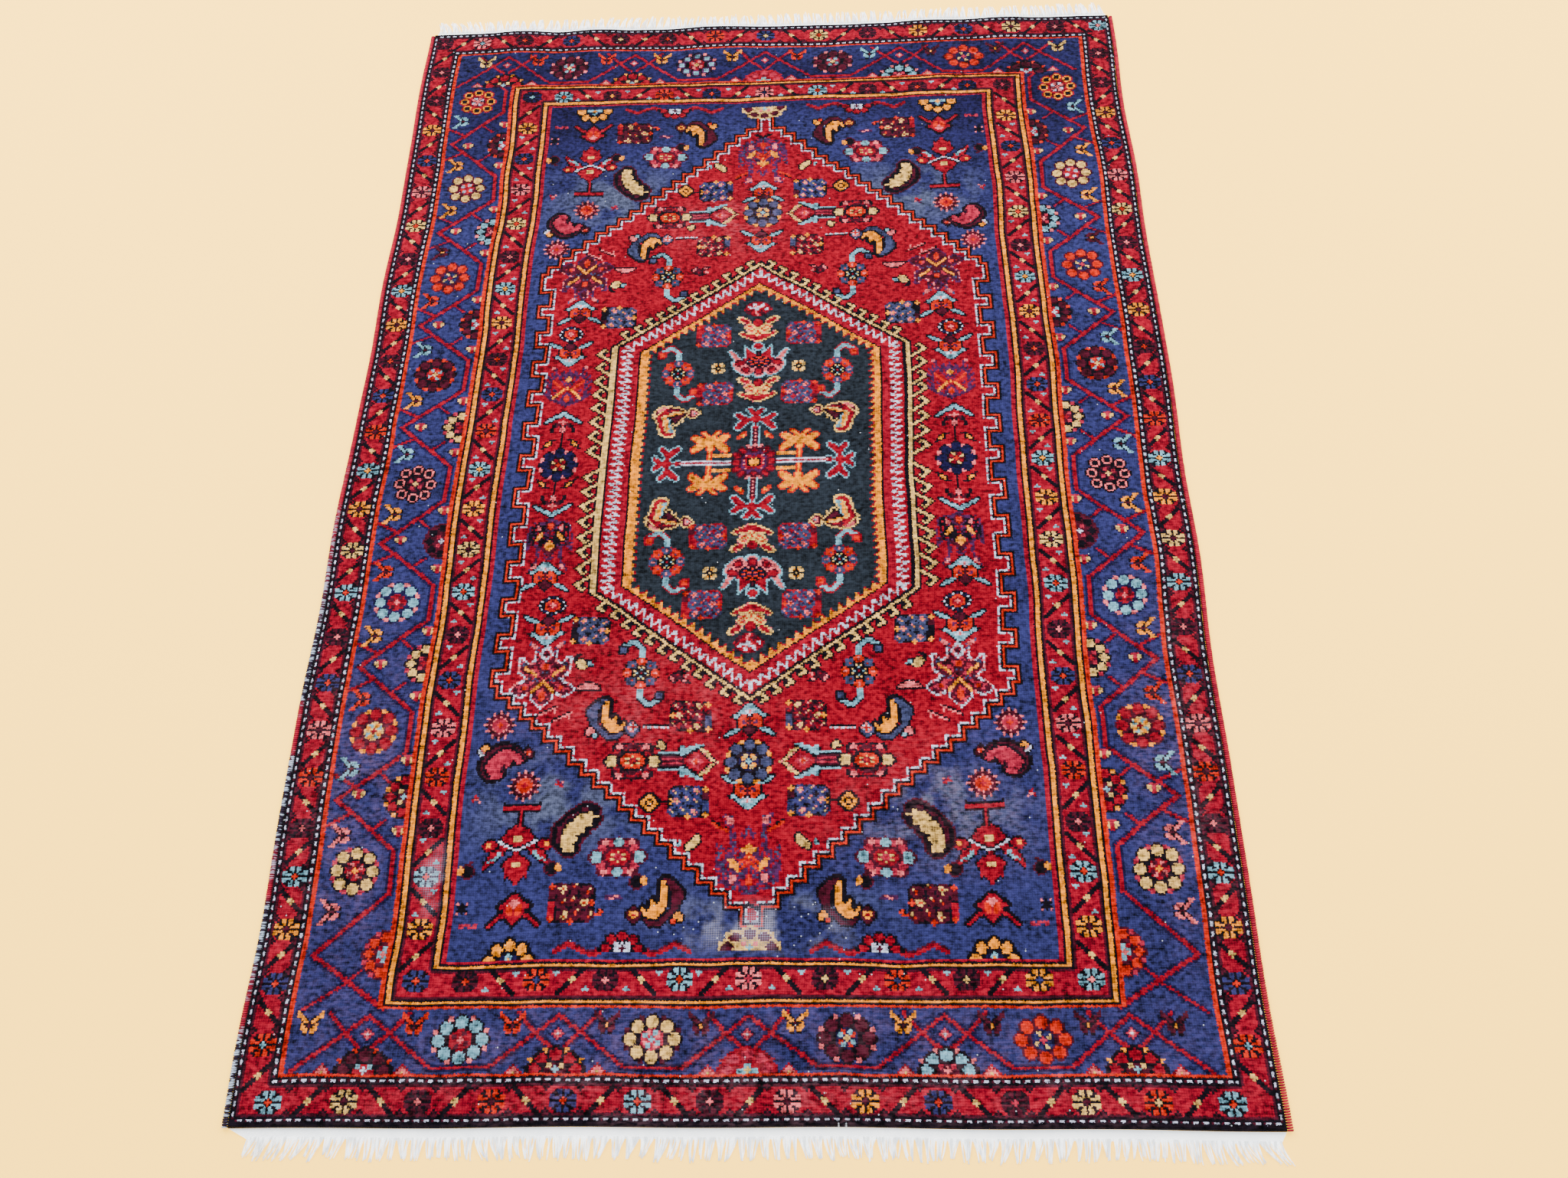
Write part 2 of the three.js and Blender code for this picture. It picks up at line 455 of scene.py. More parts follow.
# %% Large rosettes and half rosettes
def big_rosette(petal, edge, ring, one, other, heart, tip=None, spot=None, wide=10.6, tall=10.6):
    """Eight large petals round a ring of eight small ones."""
    flower = Motif(int(wide + 2), int(tall + 2), mirrored=False)
    flower.disc(0, 0, wide * 0.86, edge, tall * 0.86)
    flower.petals(8, wide * 0.76, tall * 0.76, 3.5, edge, 0, True)
    if tip:
        flower.petals(8, wide * 0.95, tall * 0.95, 1.2, tip, 0.5)
    flower.petals(8, wide * 0.76, tall * 0.76, 2.5, petal, 0, True)
    if spot:
        flower.petals(8, wide * 0.76, tall * 0.76, 1.5, spot, 0, True)
    flower.disc(0, 0, wide * 0.46, edge, tall * 0.46)
    flower.disc(0, 0, wide * 0.42, ring, tall * 0.42)
    flower.petals(4, 3.0, 3.0, 1.15, one, 0.25)
    flower.petals(4, 3.0, 3.0, 1.15, other, 0.75)
    return flower.diamond(0, 0, 1, heart)


def half_rosette(petal, edge, ring, dots, heart, tip=None, wide=9.5, tall=9.0):
    """Five petals round half a ring, its flat side down."""
    flower = Motif(13, 13)
    flower.disc(0, 0, wide * 0.9, edge, tall * 0.9)
    petals = [(np.cos(turn) * wide, np.sin(turn) * tall) for turn in np.radians((8, 49, 90))]
    for u, v in petals:
        flower.disc(u * 0.78, v * 0.78, wide * 0.36, edge, tall * 0.36)
    for u, v in petals:
        flower.disc(u * 0.77, v * 0.77, wide * 0.225, petal, tall * 0.24)
    if tip:
        for turn in np.radians((29, 69)):
            flower.disc(np.cos(turn) * wide * 1.04, np.sin(turn) * tall * 1.04, 1.1, tip)
    flower.disc(0, 0, wide * 0.48, edge, tall * 0.48)
    flower.disc(0, 0, wide * 0.4, ring, tall * 0.4)
    flower.disc(2.4, 2.2, 1.1, dots).disc(0, 1, 1.1, heart)
    flower.yarn[flower.v < 0] = bare
    return flower


butterfly_rows = """
G.........G
GG.......GG
GGGk...kGGG
.kGGk.kGGk.
..kGGkGGk..
..GkkDkkG..
..GGkDkGG..
..GGGkGGG..
...GG.GG...
...kk.kk...
"""
bud = charted(".nhhhhn. ncchhccn ncchhccn .ncrrcn. ..nrrn.. ...nn...")
pink_bud = charted("...n... ..nhn.. .nhihn. nhiwihn .nhihn. ..nhn.. ...n...")
wave_crest = charted("...r... ..rir.. .riiir. riiciir")


def butterfly(wing):
    return charted(butterfly_rows, G=wing, D="gold" if wing == "maroon" else "maroon")


# the letters of petal, edge, ring, two kinds of inner petals, heart, tips and spots; a dot is none
big = {
    "red spots": "grmwii.k", "cream": "cmhowr", "orange": "omncbh", "maroon": "mkrloco",
    "pink": "ikmkhc.k", "light blue": "lnrrmii", "red": "rmclgrg", "cream red": "ckrimgh",
    "far maroon": "mkmhlci", "far mixed": "pkrmicil", "near blue": "lkrrmii", "near cream": "ckhillm",
    "near maroon": "mknolci",
}
# the letters of petal, edge, ring, dots, heart and tips
half = {
    "maroon": "mkrlwo", "light blue": "lkmhii", "cream": "ckmhrh", "black": "kmmhwm", "red": "rkmclg",
    "orange": "omlrih", "red blue": "hrlrcr",
}

# %% The blue border down both sides
side_flowers = [(1800, "red spots"), (1579, "cream"), (1370, "orange"), (1160, "maroon"),
                (948, "pink"), (735, "light blue"), (527, "red"), (325, "cream red")]
side_halves = [(1684, "maroon"), (1474, "light blue"), (1265, "maroon"), (1055, "cream"),
               (846, "black"), (633, "cream"), (433, "red"), (213, "orange")]
side_butterflies = entries(
    "1746l 1636g 1527g 1426m 1318o 1212l 1108g 1002l 893g 789o 681g 579o 473l 375i 268i")
near_field, near_edge = -490.5, -580.0  # where the trellis runs and turns, from the middle
heights = [row[0] for row in side_flowers]
trellis = [(-510, heights[0] + 46), (near_field, heights[0] + 27)]
twigs = [[(-528, 175), (-495, 205)], [(-528, 175), (-582, 138)]]
for upper, lower in zip(heights[:-1], heights[1:]):
    middle = (upper + lower) / 2
    trellis += [(near_field, upper - 30), (near_edge, middle), (near_field, lower + 30)]
    for way in (-1, 1):
        twigs.append([(near_edge + 22, middle + way * 22), (-590, middle + way * 38)])
        twigs.append([(near_edge + 52, middle + way * 45), (-508, middle + way * 28)])
trellis += [(near_field, heights[-1] - 30), (near_edge, 212), (-473, 142)]
for line in twigs:
    ribbon(line, 3.4, "navy", main)
ribbon(trellis, 5.4, "navy", main)
for line in twigs:
    ribbon(line, 3.4, None, main)
for y, kind in side_flowers:
    stamp(big_rosette(*named(big[kind])), 118, y)
for y, kind in side_halves:
    stamp(half_rosette(*named(half[kind])), 178, y, quarter=3, only=main)
for y, wing in side_butterflies:
    stamp(butterfly(wing), 92, y, quarter=3)
for y, _ in side_halves[:-1]:
    stamp(bud, 110, y)
    for way in (-1, 1):
        stamp(bud, 173, y + way * 52, only=main)

# %% The blue border across both ends
# its lower edge and height, its rosettes, half rosettes and butterflies from the left
end_borders = [
    (1840, 87,
     [(283, "far maroon"), (529, "far mixed"), (787, "far maroon"), (1032, "orange")],
     [(163, "red"), (408, "red"), (655, "red blue"), (911, "light blue"), (1145, "maroon")],
     entries("120c 220o 353o 460g 593g 717o 853l 970m 1090m 1207c")),
    (62, 81,
     [(293, "near blue"), (537, "near cream"), (787, "near maroon"), (1030, "orange")],
     [(170, "maroon"), (417, "red"), (660, "red blue"), (910, "light blue"), (1143, "red")],
     entries("92g 230o 356o 478m 600m 722g 856g 968m 1090m 1200m")),
]
for base, height, flowers, halves, butterflies in end_borders:
    low, high = base + 8, base + height - 10
    tops = [row[0] - edge_x for row in halves]
    trellis = [(tops[0] - 92, base + 2), (tops[0], high)]
    for left, right in zip(tops[:-1], tops[1:]):
        middle = (left + right) / 2
        trellis += [(middle - 38, low), (middle + 38, low), (right, high)]
    trellis.append((tops[-1] + 92, base + 2))
    lines = [trellis]
    for top in tops:
        for way in (-1, 1):
            crossing = (top + way * 26, high - 24)
            lines.append([crossing, (top + way * 52, high + 4)])
            lines.append([crossing, (top + way * 5, high - 42)])
    for edge in ("navy", None):
        for line in lines:
            ribbon(line, 4.6, edge, main, both_halves=False)
    for at, kind in flowers:
        place(big_rosette(*named(big[kind]), wide=11.6, tall=9.8), at - edge_x, base + height * 0.53)
    for at, kind in halves:
        x = at - edge_x
        place(half_rosette(*named(half[kind]), wide=11.0), x, base, main)
        place(pink_bud, x, high - 22)
        for way in (-1, 1):
            place(wave_crest, x + way * 52, base + 6, main)
    for at, wing in butterflies:
        place(butterfly(wing), at - edge_x, base + height - 20)
print("blue border:", len(side_flowers) * 2 + 8, "large rosettes")

# %% [markdown]
# ### The field
# The field is blue, with a red medallion whose slanting sides climb in steps and whose upright
# sides have teeth. Inside it a hooked hexagon holds another of dark green. In knots, a slant is a
# staircase: so the medallion's half width is counted for each row, and the hexagons come from
# how far each knot is from their straight sides.

# %% The red medallion
middle_y = 981.0
# the weaver's middle drifts a little to the left from part to part
hexagon_axis, medallion_axis, green_axis = -4.0, -5.0, -8.0
knots_out = np.abs(np.arange(columns) - (columns - 1) / 2)
row_place = np.arange(rows) + 0.5
top_row, bottom_row = 1709 / knot_y, 277 / knot_y
neck_top, neck_bottom = 1738 / knot_y, 250 / knot_y
tooth_out, tooth_in, neck_wide = 121, 115, 3
steps_down = np.minimum(np.ceil((top_row - row_place) / 5.77), np.ceil((row_place - bottom_row) / 5.5))
reach = np.minimum(neck_wide + 1 + 6 * steps_down, tooth_out)
reach[(row_place > top_row) | (row_place < bottom_row)] = neck_wide
reach[(row_place > neck_top) | (row_place < neck_bottom)] = 0
for tooth in (1320, 1263, 1201, 1138, 1079, 1016, 955, 887, 821, 755, 697, 637):
    reach[np.abs(row_place - tooth / knot_y) < 6.6] = tooth_in
medallion = knots_out[None, :] <= reach[:, None]
shell = medallion
for yarn in ("black", "orange", "black"):
    grown = spread_square(shell)
    paint(grown & ~shell & field, yarn)
    shell = grown
paint(medallion, "crimson")
rim = medallion & spread_square(~medallion)
paint(rim, "white")
paint(rim & ((np.arange(rows)[:, None] + np.arange(columns)) % 5 == 0), "rose")

# %% The hexagons, from the outside in
half_wide, half_tall, slope = 188.5, 355.0, 0.723
slant_stretch = 1.293  # the bands are wider on the upright sides than where they slant
aside, away = np.abs(X - hexagon_axis), np.abs(Y - middle_y)
out_side = aside - half_wide
out_slant = (away + slope * aside - half_tall) / np.hypot(1, slope) * slant_stretch
out = np.maximum(out_side, out_slant)
upright = out_side >= out_slant
step = np.where(upright, np.arange(rows)[:, None], (aside / knot_x).astype(int))
inner = np.where(upright, -2.0, 4.0)  # where the solid part of the gold ends
for low, high, yarn in ((46, 62, "black"), (23, 46, "crimson"), (10, 23, "brick"), (8, 12, "black"),
                        (-2, 9, "gold")):
    paint((out >= low) & (out < high), yarn)
green = out < inner
paint(green, "teal")
# a zigzag: one stroke straight across, then a slanting one back
depth = np.where(upright, (41 - out) / 3.1, (43 - out) / 3.3)
beat = step % 4
stroke = (beat == 0) & (depth > -0.5) & (depth < 6) | (np.abs(depth - 6 + 1.5 * beat) < 0.8) & (beat > 0)
paint(stroke & (out > 20), "white")
paint(stroke & (out > 20) & ((step * 7 + depth.astype(int)) % 5 == 0), "pink")
# gold teeth that point inwards
tooth_long = np.where(upright, np.array([4.8, 3.4, 0, 0])[beat], np.array([11.5, 6.5, 2.5, 0])[beat])
paint(green & (out > inner - tooth_long - 2.6), "crimson")
paint(green & (out > inner - tooth_long), "gold")
green = green & (out < inner - 3)

side_hook = outlined(charted(""".......cc ......cc. ....ccc.. ...cc.... .ccc..... ccck..... .cckk....
                                ..cckc... ...cc...."""))
slant_hook = outlined(charted("..cc. ccck. cckk. .cck. ..cc. ...cc"))
for count in range(8):
    height = 10 + 27.4 * count
    for way in (-1, 1):
        stamp(side_hook, edge_x - 263, middle_y + way * (height + 12.4), axis=hexagon_axis,
              upside=way > 0)
for count in range(12):
    at = 12 + 19.0 * count
    for way in (-1, 1):
        stamp(slant_hook, edge_x + hexagon_axis - at - 5, middle_y + way * (406.5 - slope * at + 8),
              axis=hexagon_axis, upside=way < 0)
paint((out >= np.where(upright, 50, 52)) & (out < np.where(upright, 58, 56.5)), "cream")
print("medallion:", medallion.sum(), "knots; green hexagon:", green.sum(), "knots")

# %% [markdown]
# Palmettes, rosettes, half moons, birds and small squares fill the grounds. The ones that are
# round or square are drawn by distance, and the others are charted in text, as on squared paper.
# A chart that is the same left and right gives its left half and its middle column only.

# %% Motifs drawn by distance
def dotted_rosette(ring="orange", heart="crimson"):
    """A small round flower in a black edge with dots."""
    flower = Motif(7, 7, mirrored=False)
    flower.disc(0, 0, 6.2, "black").petals(12, 6.2, 6.2, 0.8, "pink").disc(0, 0, 5.4, "maroon")
    return flower.disc(0, 0, 4.0, "pink").disc(0, 0, 3.2, ring).disc(0, 0, 1.2, heart)


def square_flower(petal, side, one, other, corners="gold", base="black"):
    """A small square packed with dotted petals, with a bar down one side."""
    flower = Motif(9, 8, mirrored=False)
    square = (np.abs(flower.u) + np.abs(flower.v) < 15) & (np.abs(flower.v) < 8)
    flower.fill(square, base).box(-9, 0, -7, 6, side).box(-9, -6, -7, -2, "maroon")
    places = ((-3, 5), (2, 4), (7, 5), (5, 0), (-4, 0), (0, -1), (-4, -5), (1, -5.5), (6, -4.5))
    for count, (u, v) in enumerate(places):
        flower.disc(u, v, 2.3, petal).diamond(round(u), round(v), 1 if count % 3 == 0 else 0, other)
        flower.diamond(round(u), round(v), 0, one).diamond(round(u) + 1, round(v) - 1, 0, other)
    flower.yarn[~square] = bare
    for u, v in ((-8, 6), (0, 7), (8, 0), (-8, -6)):
        flower.disc(u, v, 1.2, corners)
    return flower


def cross_rosette(ends, tips, petal, heart, edge="black", upright=None):
    """A ring of petals round an oval, with other petals at both sides and small tips between."""
    flower = Motif(13, 10)
    flower.disc(0, 0, 10.6, edge, 8.4)
    for way in (-1, 1):
        flower.disc(0, 6.4 * way, 2.7, edge).disc(6, 5.4 * way, 3.4, edge)
        flower.disc(3.6, 6.4 * way, 1.6, petal).disc(7.4, 3.6 * way, 2.0, petal)
        flower.disc(0, 6.4 * way, 2.1, upright or petal).disc(6, 6.8 * way, 1.5, tips)
    flower.disc(10, 0, 3.2, edge, 3.4).disc(9.6, 0, 2.5, ends, 2.7)
    flower.disc(0, 0, 5.2, heart, 3.7).petals(6, 2.6, 1.8, 0.8, "cream", 0.5)
    return flower.disc(0, 0, 2.2, petal, 1.4).diamond(0, 0, 0, heart)


def scroll_rosette(one, other, edge="black", curl_yarn="light blue"):
    """A small rosette with a curled stem above it and below it."""
    flower = Motif(12, 19, mirrored=False)
    for way in (-1, 1):
        curl = [(0, 8 * way), (0, 13 * way), (4.5 * way, 17 * way), (8.5 * way, 14.5 * way)]
        flower.line(curl, 3.6, edge).line(curl, 2.0, curl_yarn)
        flower.disc(9.2 * way, 12 * way, 2.7, edge).disc(9.2 * way, 12.2 * way, 1.7, one)
    flower.disc(0, 0, 8.4, edge)
    flower.petals(4, 6.2, 6.2, 2.3, one, 0.5).petals(4, 6.4, 6.4, 2.3, other)
    flower.petals(4, 6.2, 6.2, 0.6, other, 0.5).petals(4, 6.4, 6.4, 0.6, "pink")
    flower.disc(0, 0, 4.2, "black").petals(8, 2.9, 2.9, 0.6, "cream", 0.5)
    return flower.petals(4, 1.6, 1.6, 0.6, "light blue").disc(0, 0, 0.6, "crimson")


fans = {name: half_rosette(*named(word), wide, tall).yarn[::-1] for name, word, wide, tall in (
    ("gold", "gklng.", 10.5, 10.0), ("red", "rkwwm.", 9, 7.5), ("cream", "mccil.", 12.5, 9))}

# %% Motifs charted in text
horned_rows = """
rr........k
krr......kr
.krr....krr
..krr..krrr
...krrkrrrr
....krrroor
.....krooor
....krroooi
....krrooii
.....krriii
......krrii
.......krrr
........krr
..........k
"""
palmette_rows = """
..............r
.............kr
..........k.krr
..........rkrrr
..........rrrrr
.k.......krrrrr
.rk......krrrrr
.rrk....krrrrcc
.krrk...krrrrcc
.krlrk...krrrrr
..krllk...krrrr
..krrllk...kkrr
...krrllrk...kr
.krrkrrrrrkkkww
krrrrkkrrrrwwkk
rrggrrkrrwwkkrr
krggrrkwwkkrrrr
.krrrkwwkrrrrcc
..kkk.kkrrrrrcc
.......krrrrrcc
........krrrrrr
.........krrrrr
..........kkrrr
............krr
.............kr
..............r
"""
stem_rows = """
.......kr
.......kr
.......kr
.......kr
.......kr
.......kr
.......kr
kkkkkkkkr
rrrrrrrrr
rrrrrrrrr
kkkkkkkkk
k.......n
........n
"""
serrated_rows = """
.........aaaaaa.........
...ll...aaaaaaaa....aa..
iikll..aaa.....aa..aaaa.
iiii..aaa..gggg.k.aaiiaa
iiii.aaa..gggggggkaiooia
.ii.aaa..ggggggggkaiiiia
...aaa..gggggggkgg.aaaa.
..aaa...ggggggkkkg..aa..
..aaa..gggggggk..k......
.aaaa..ggggkggk.........
.aaaa..gggkkkgk.........
aaaaa..gggk.kk..........
aaaaa..gggk.............
aaaaa..gggk.............
aaaaa..gggk.............
kaaaaa.gggk.............
.kaaaa.gggk.............
..kaaaa.ggk.............
...kaaaaggk.............
....kkaaakk.............
......kkkk..............
"""
crescent_rows = """
.......kkkkk...............
......kmmcccck.............
.....kmkkccccck............
....kmkkcccccck............
....kmkcccccckm............
...kmkkccccccmk............
...kmkcccccccmkc...........
...kmkccccccccmcck.........
...kmkkcccccccccck.kcc.....
...kmmkccccccccccckcccck...
....kmkkcccccccccccccckm...
....kmmkkccccccccccccckm.mm
...wwkmmkkccccccccccckmkoim
..wwikmmmkkcccccccckkmkioom
..wigk.kmmkkkcccckkkmk.kmm.
...ggggkkmmmkkkkkkkmk...k..
....ggk..kkmmmmmmkk........
...........kkkkk...........
"""
seed_rows = """
..mm...
.mkkm..
mkkkkgg
mkkkggg
.mkkmg.
..mm...
.mm....
"""
star_rows = """
..........ppp
.........pppp
....ppkpppppm
...pkkkkppmoo
..pkkkikkkmoo
..pkkkiikkmoo
..pkkkiikkkmo
..pkkkkkkkkpm
.pkkkkkkgkppm
.pkkkkkggkppm
.pkkkkgggkkpm
.pkkkkggkkkkp
.pkkkggkkkkkk
.pkmkkkkkkkkg
.pnmkpkkkkkgg
.pmmkppkkkggg
.ppp.ppmmkggg
.pp...ppmmmgg
.p....pp.mmmg
......pp..mmm
......pp..pmm
......pp..pkm
......pp..ppm
......p....pp
......p.....p
.....pp......
....pii......
....pii......
...piip......
...pp........
"""
chevron_rows = """
............k
..........kll
.........klll
........kllll
.......kllwwi
......kllllwi
....klllkookw
...kkllkoookm
.....kkooooom
......koopokm
......kooppom
......kooookm
......kookkmm
...kklllkkmmm
..kllllk.kmmm
.klllkk...kmm
kllkk......kk
kkk.........k
"""
dart_rows = """
.................llll
..........ll..lllllkk
.........klllllllkkcc
.........klllllkkk.kccc
llllllllllllllkk..r.kicc
kkkkkkkkkkllkk..rrhr.kcck
.mmmmmmmmmmkk.rrhhhrr.kick
.hhhhhhhhhhmrrhhiohhrr.kcck
.mmmmmmmmmmmrhhiooihhrrr.kic
"""
lozenge_rows = """
..kggk..
.kggggk.
kggkkggk
ggkggkgg
ggkggkgg
kggkkggk
.kggggk.
..kggk..
"""
bow_rows = """
..kccck...
.kccccckkk
.kccccklll
kccccckll.
kkccckkkk.
kk.kk.....
kkk.......
.kkk......
"""
boteh_rows = """
..kk...kkkk
.kimk.kiik.
kiimmkmk...
kimmmmk.i..
.kmmrmk.ii.
..kkmmkkk..
....kkk....
"""
bud_on_stem_rows = """
...........i
.........iii
.......kmm.i
......kkmmk.
......kkm.ki
.....kk...ii
.....kk...ii
.....kk...ki
...........k
...........k
...........k
...........k
.....kkkk..k
...kkgk....k
...kggk....k
..kggkk....k
..kkk......k
.kk........k
"""
wave_line_rows = """
...............rrrr.....
rr..........rrrrrrrrr...
rrrr......rrrrmmmmrrrr..
.mrrrr..rrrrmm....mmrrrr
..mmrrrrrrmm........mrrr
....mrrrrm............mm
......mm................
"""
small_rosette_rows = """
.....kkn
...kkwkn
..knnkoo
.kwkoorr
.kkkorri
kwkkorii
.kkkorri
.kwkkoor
..knnkoo
...kkwkn
.....kkn
"""
cream_knot_rows = """
.cc.cc.
ccgkgcc
cckkkcc
.kkckk.
"""
twig_rows = """
k.........
kii.......
.kkii...i.
...kkii.i.
.....kkii.
.......kki
"""
thin_chevron_rows = """
.........kk
........kll
......kklll
.....kllllk
...kkllllk.
..klllkk...
.klllk.....
kllkk......
kkk........
"""
clover_rows = """
.....ooo...
.....oggo..
.ooo..oggo.
oggggo.oggo
oggggggoggg
.oggggggggg
..ogggggggg
...oggggggg
..ogggggggg
.oggggggogg
ogggggg.ogg
oggggo..ogg
oggoo....og
.oo......og
.........og
.........og
.........og
.........og
"""
bird_rows = """
......cccccc...............
....cciiicmmcccc...........
...ciiiirrmmmmmmcc...ccc...
..cmiicrrmmrrrrmmmc.cmmmc..
..cmmcrrrrmmcccccgcccmiimcc
.ccmcrrrrrccgggggmkmcmilimc
..ccrrrccggggkkmmmkcmmiimc.
.ccmrrcggkkkkmmmmkc.cmmmc..
..cmrrcgglkmmmmmkc...ccc...
...crrrcgglkmmmkcc.........
...cmrrcgglkkmkc.c.........
....crrcggl.ckkc...........
....crrcgglc.cc............
....crrrcgllc..............
....ccrrcgglc..............
.....crrcglllc.............
.....crrrccllc.............
.....ccrrrrrrc.............
......ccrrrrcc.............
........ccccc..............
"""
red_star_rows = """
...............ll
..............lrr
.........l...lrrr
.........ll..lrrr
.........lrl.llrr
.ll......lrrll.ll
liil.....lrrrllkk
.liil....lrrrrlkm
.liiil...lrrrrrkm
..liil...lrrrrrkk
..liiil.llrrrkkoo
...liiilmrrkookko
...limmmmrknnkoon
..llmrrrrmkooknnk
..lirrrrrmknnkook
..limrrrmikkookkn
..liimmiiiiknnkko
...liiiimmmikkikk
...liiimrrrmiimmm
....liimrrrmiimrr
.....liimrrmiimrr
......liimmiilmrr
.......lliiillimm
.........lll.llii
..............lll
"""
fleur_rows = """
.ccc........
ccrrcc......
.crrrrc...km
.ccrrrrc.kmm
...ccrrc.mmm
.....cccckmm
....cciiccmm
....cicciccc
.....ciccicc
.....cciicci
..cc..ccccci
.crrrcccccic
..crrrrrrrcc
...ccrrrrrrr
.....ccrrrkk
.......ccrrr
.........ccc
"""
centre_rows = """
.......ii.ii
....mm.miimm
...mrrmmmmmr
...mrrrmpmrr
.mmmmrrmppmm
mrrrmmmppppp
mrrrrmpirrpr
.mrrmpprrrrr
.mmmmprrkkgk
mrrrmpirkggg
mrrrmpprkggg
"""
cross_flower_rows = """
.......lll..
......lrrrl.
......llrrrl
.lll...lrrrr
lrrrl...lrrr
lrrrrll..lrr
.lrrrrrllrrr
..lrrrrrrrrr
...lrrrrrrrr
..lrrrrrllrr
.lrrrrrl..lr
.lrrrrl...lr
lrrrrl...lrr
lrrrl....lmr
.lll.....lmi
.........lmm
.........lmi
.........lmm
.........lmi
.........lmm
.........lmi
.........lmm
.........lmi
.........lmm
.........lmi
"""
little_flower_rows = """
....mrrrrrm....
..mrrwwrrrwrm..
.mrrrwirrwwrrm.
.rwwrriwwwirrr.
mrrwwwwwirrrwrm
rmrrrrwwrrrwwrr
.mmrrrirrmrrrm.
.mmmrrirmmmrm..
..mmrriirmmm...
....mrrirm.....
"""
white_star_rows = """
.......a........
.......aii......
........iii....w
.........iia..ww
..........a..www
..........wa.wmm
..........w.wwmm
..........wmwwmm
...www....wm.wwm
..wwmw....wmmmww
...wmmw..wwmmmmw
...wmamwwwmmmmmm
...wmaammmmmmmoo
...wmmgmmmmmmmoo
...wmmggmmhhmmoo
...wmmmgggmhhmmm
...wwmmmmggmhmam
....wwmmmmggmmmm
......wmmmmgmmmm
......wwammammmm
.....wwmmmamammg
...wwwmmmmmmmmgg
..wmmmmhmmmmmggm
.wmmmmoohmmmggmm
wmmmhmoohmmggmmm
wmmmmmmmmmggmmmo
.wmmmmmmwmgmmmoo
..wwmmwww.wmmmoo
....www...wmmmoo
..........wmmmoo
...........wmmmo
............wmmm
.............wmm
..............ww
...............w
"""
open_star_rows = """
...ii........
...iip.......
....pp......p
.....p...p..p
...p.p..pp.pp
...p.pp.ppppp
.p.pppppppppp
.pp.pprpprppg
..ppprrpprpgg
p.pporrrprrgg
pp.poorrrprpg
.ppproorrrppp
..pprroorrprp
p.pprrroorrpr
pp.prrrroorrg
.pp.rprrrogog
..pprpprrggrr
p.pprrrrggrrp
pppp.rpggrrpp
.ppprrggrrppo
..pppggprrpoo
...ppgp.rppoo
....pppp.ppoo
......ppppppo
........ppppp
..........ppp
............n
"""
half_moon_rows = """
....kkkk........
...kcccck.......
..kccccck.......
.kkcccck........
.kmccccckk......
.kmcccccck......
.kmccccckk......
.kmkcccccckk....
.kmkccccccck....
.kmmkcccccckkk..
..kmkccccccccck.
..kmmkcccccccck.
...kmkkccccccckk
....kmmkcccccccc
.....kmmkccccck.
......kkmkkkcck.
........kkmmkkk.
..........kkkk..
"""

# %% [markdown]
# Each row below gives a motif, how far in it sits from the side, and how far along in the far
# half and in the near half, all in millimetres. The near one is turned over unless it says not.

# %% Placing the motifs
def lay(motifs, only, axis=0.0):
    """Puts each motif on both sides of the rug, in its far half and in its near half."""
    for motif, inwards, far, near, *ways in motifs:
        for y, turned_over in ((far, False), (near, "same way" not in ways)):
            if y:
                stamp(motif, inwards, y, axis=axis, upside=turned_over, flip="flip" in ways, only=only)


seed, twig = larger(charted(seed_rows), 1.25), charted(twig_rows)
dart = charted(and_mirrored(dart_rows))
small_rosette = half_chart(small_rosette_rows)
serrated = outlined(charted(serrated_rows))
far_serrated = outlined(charted(serrated_rows, a="maroon", l="orange", i="gold", o="crimson"))
chevron = half_chart(chevron_rows)
star = speckled(speckled(half_chart(star_rows), "black", "purple", 0.3), "purple", "crimson", 0.16)
open_star = half_chart(open_star_rows)
far_star = larger(half_chart(star_rows, k="purple", m="crimson", n="slate"), 1.25)
far_star = speckled(speckled(far_star, "purple", "slate", 0.3), "purple", "crimson", 0.3)
far_star = speckled(far_star, "slate", "crimson", 0.2)
leaf = outlined(charted("cc..... cccc... ccccc.. .ccccc. ..cccc. ...ccc. ....cc."))
orange_twig = charted("......oo ....ooo. ..ooo.k. .ook.... ookk.... kk......")
far_pointed_star = speckled(half_chart(white_star_rows, w="purple"), "purple", "pink", 0.25)
white_star = speckled(half_chart(white_star_rows), "maroon", "rose", 0.3)
white_star = speckled(speckled(white_star, "maroon", "slate", 0.16), "white", "pink", 0.3)
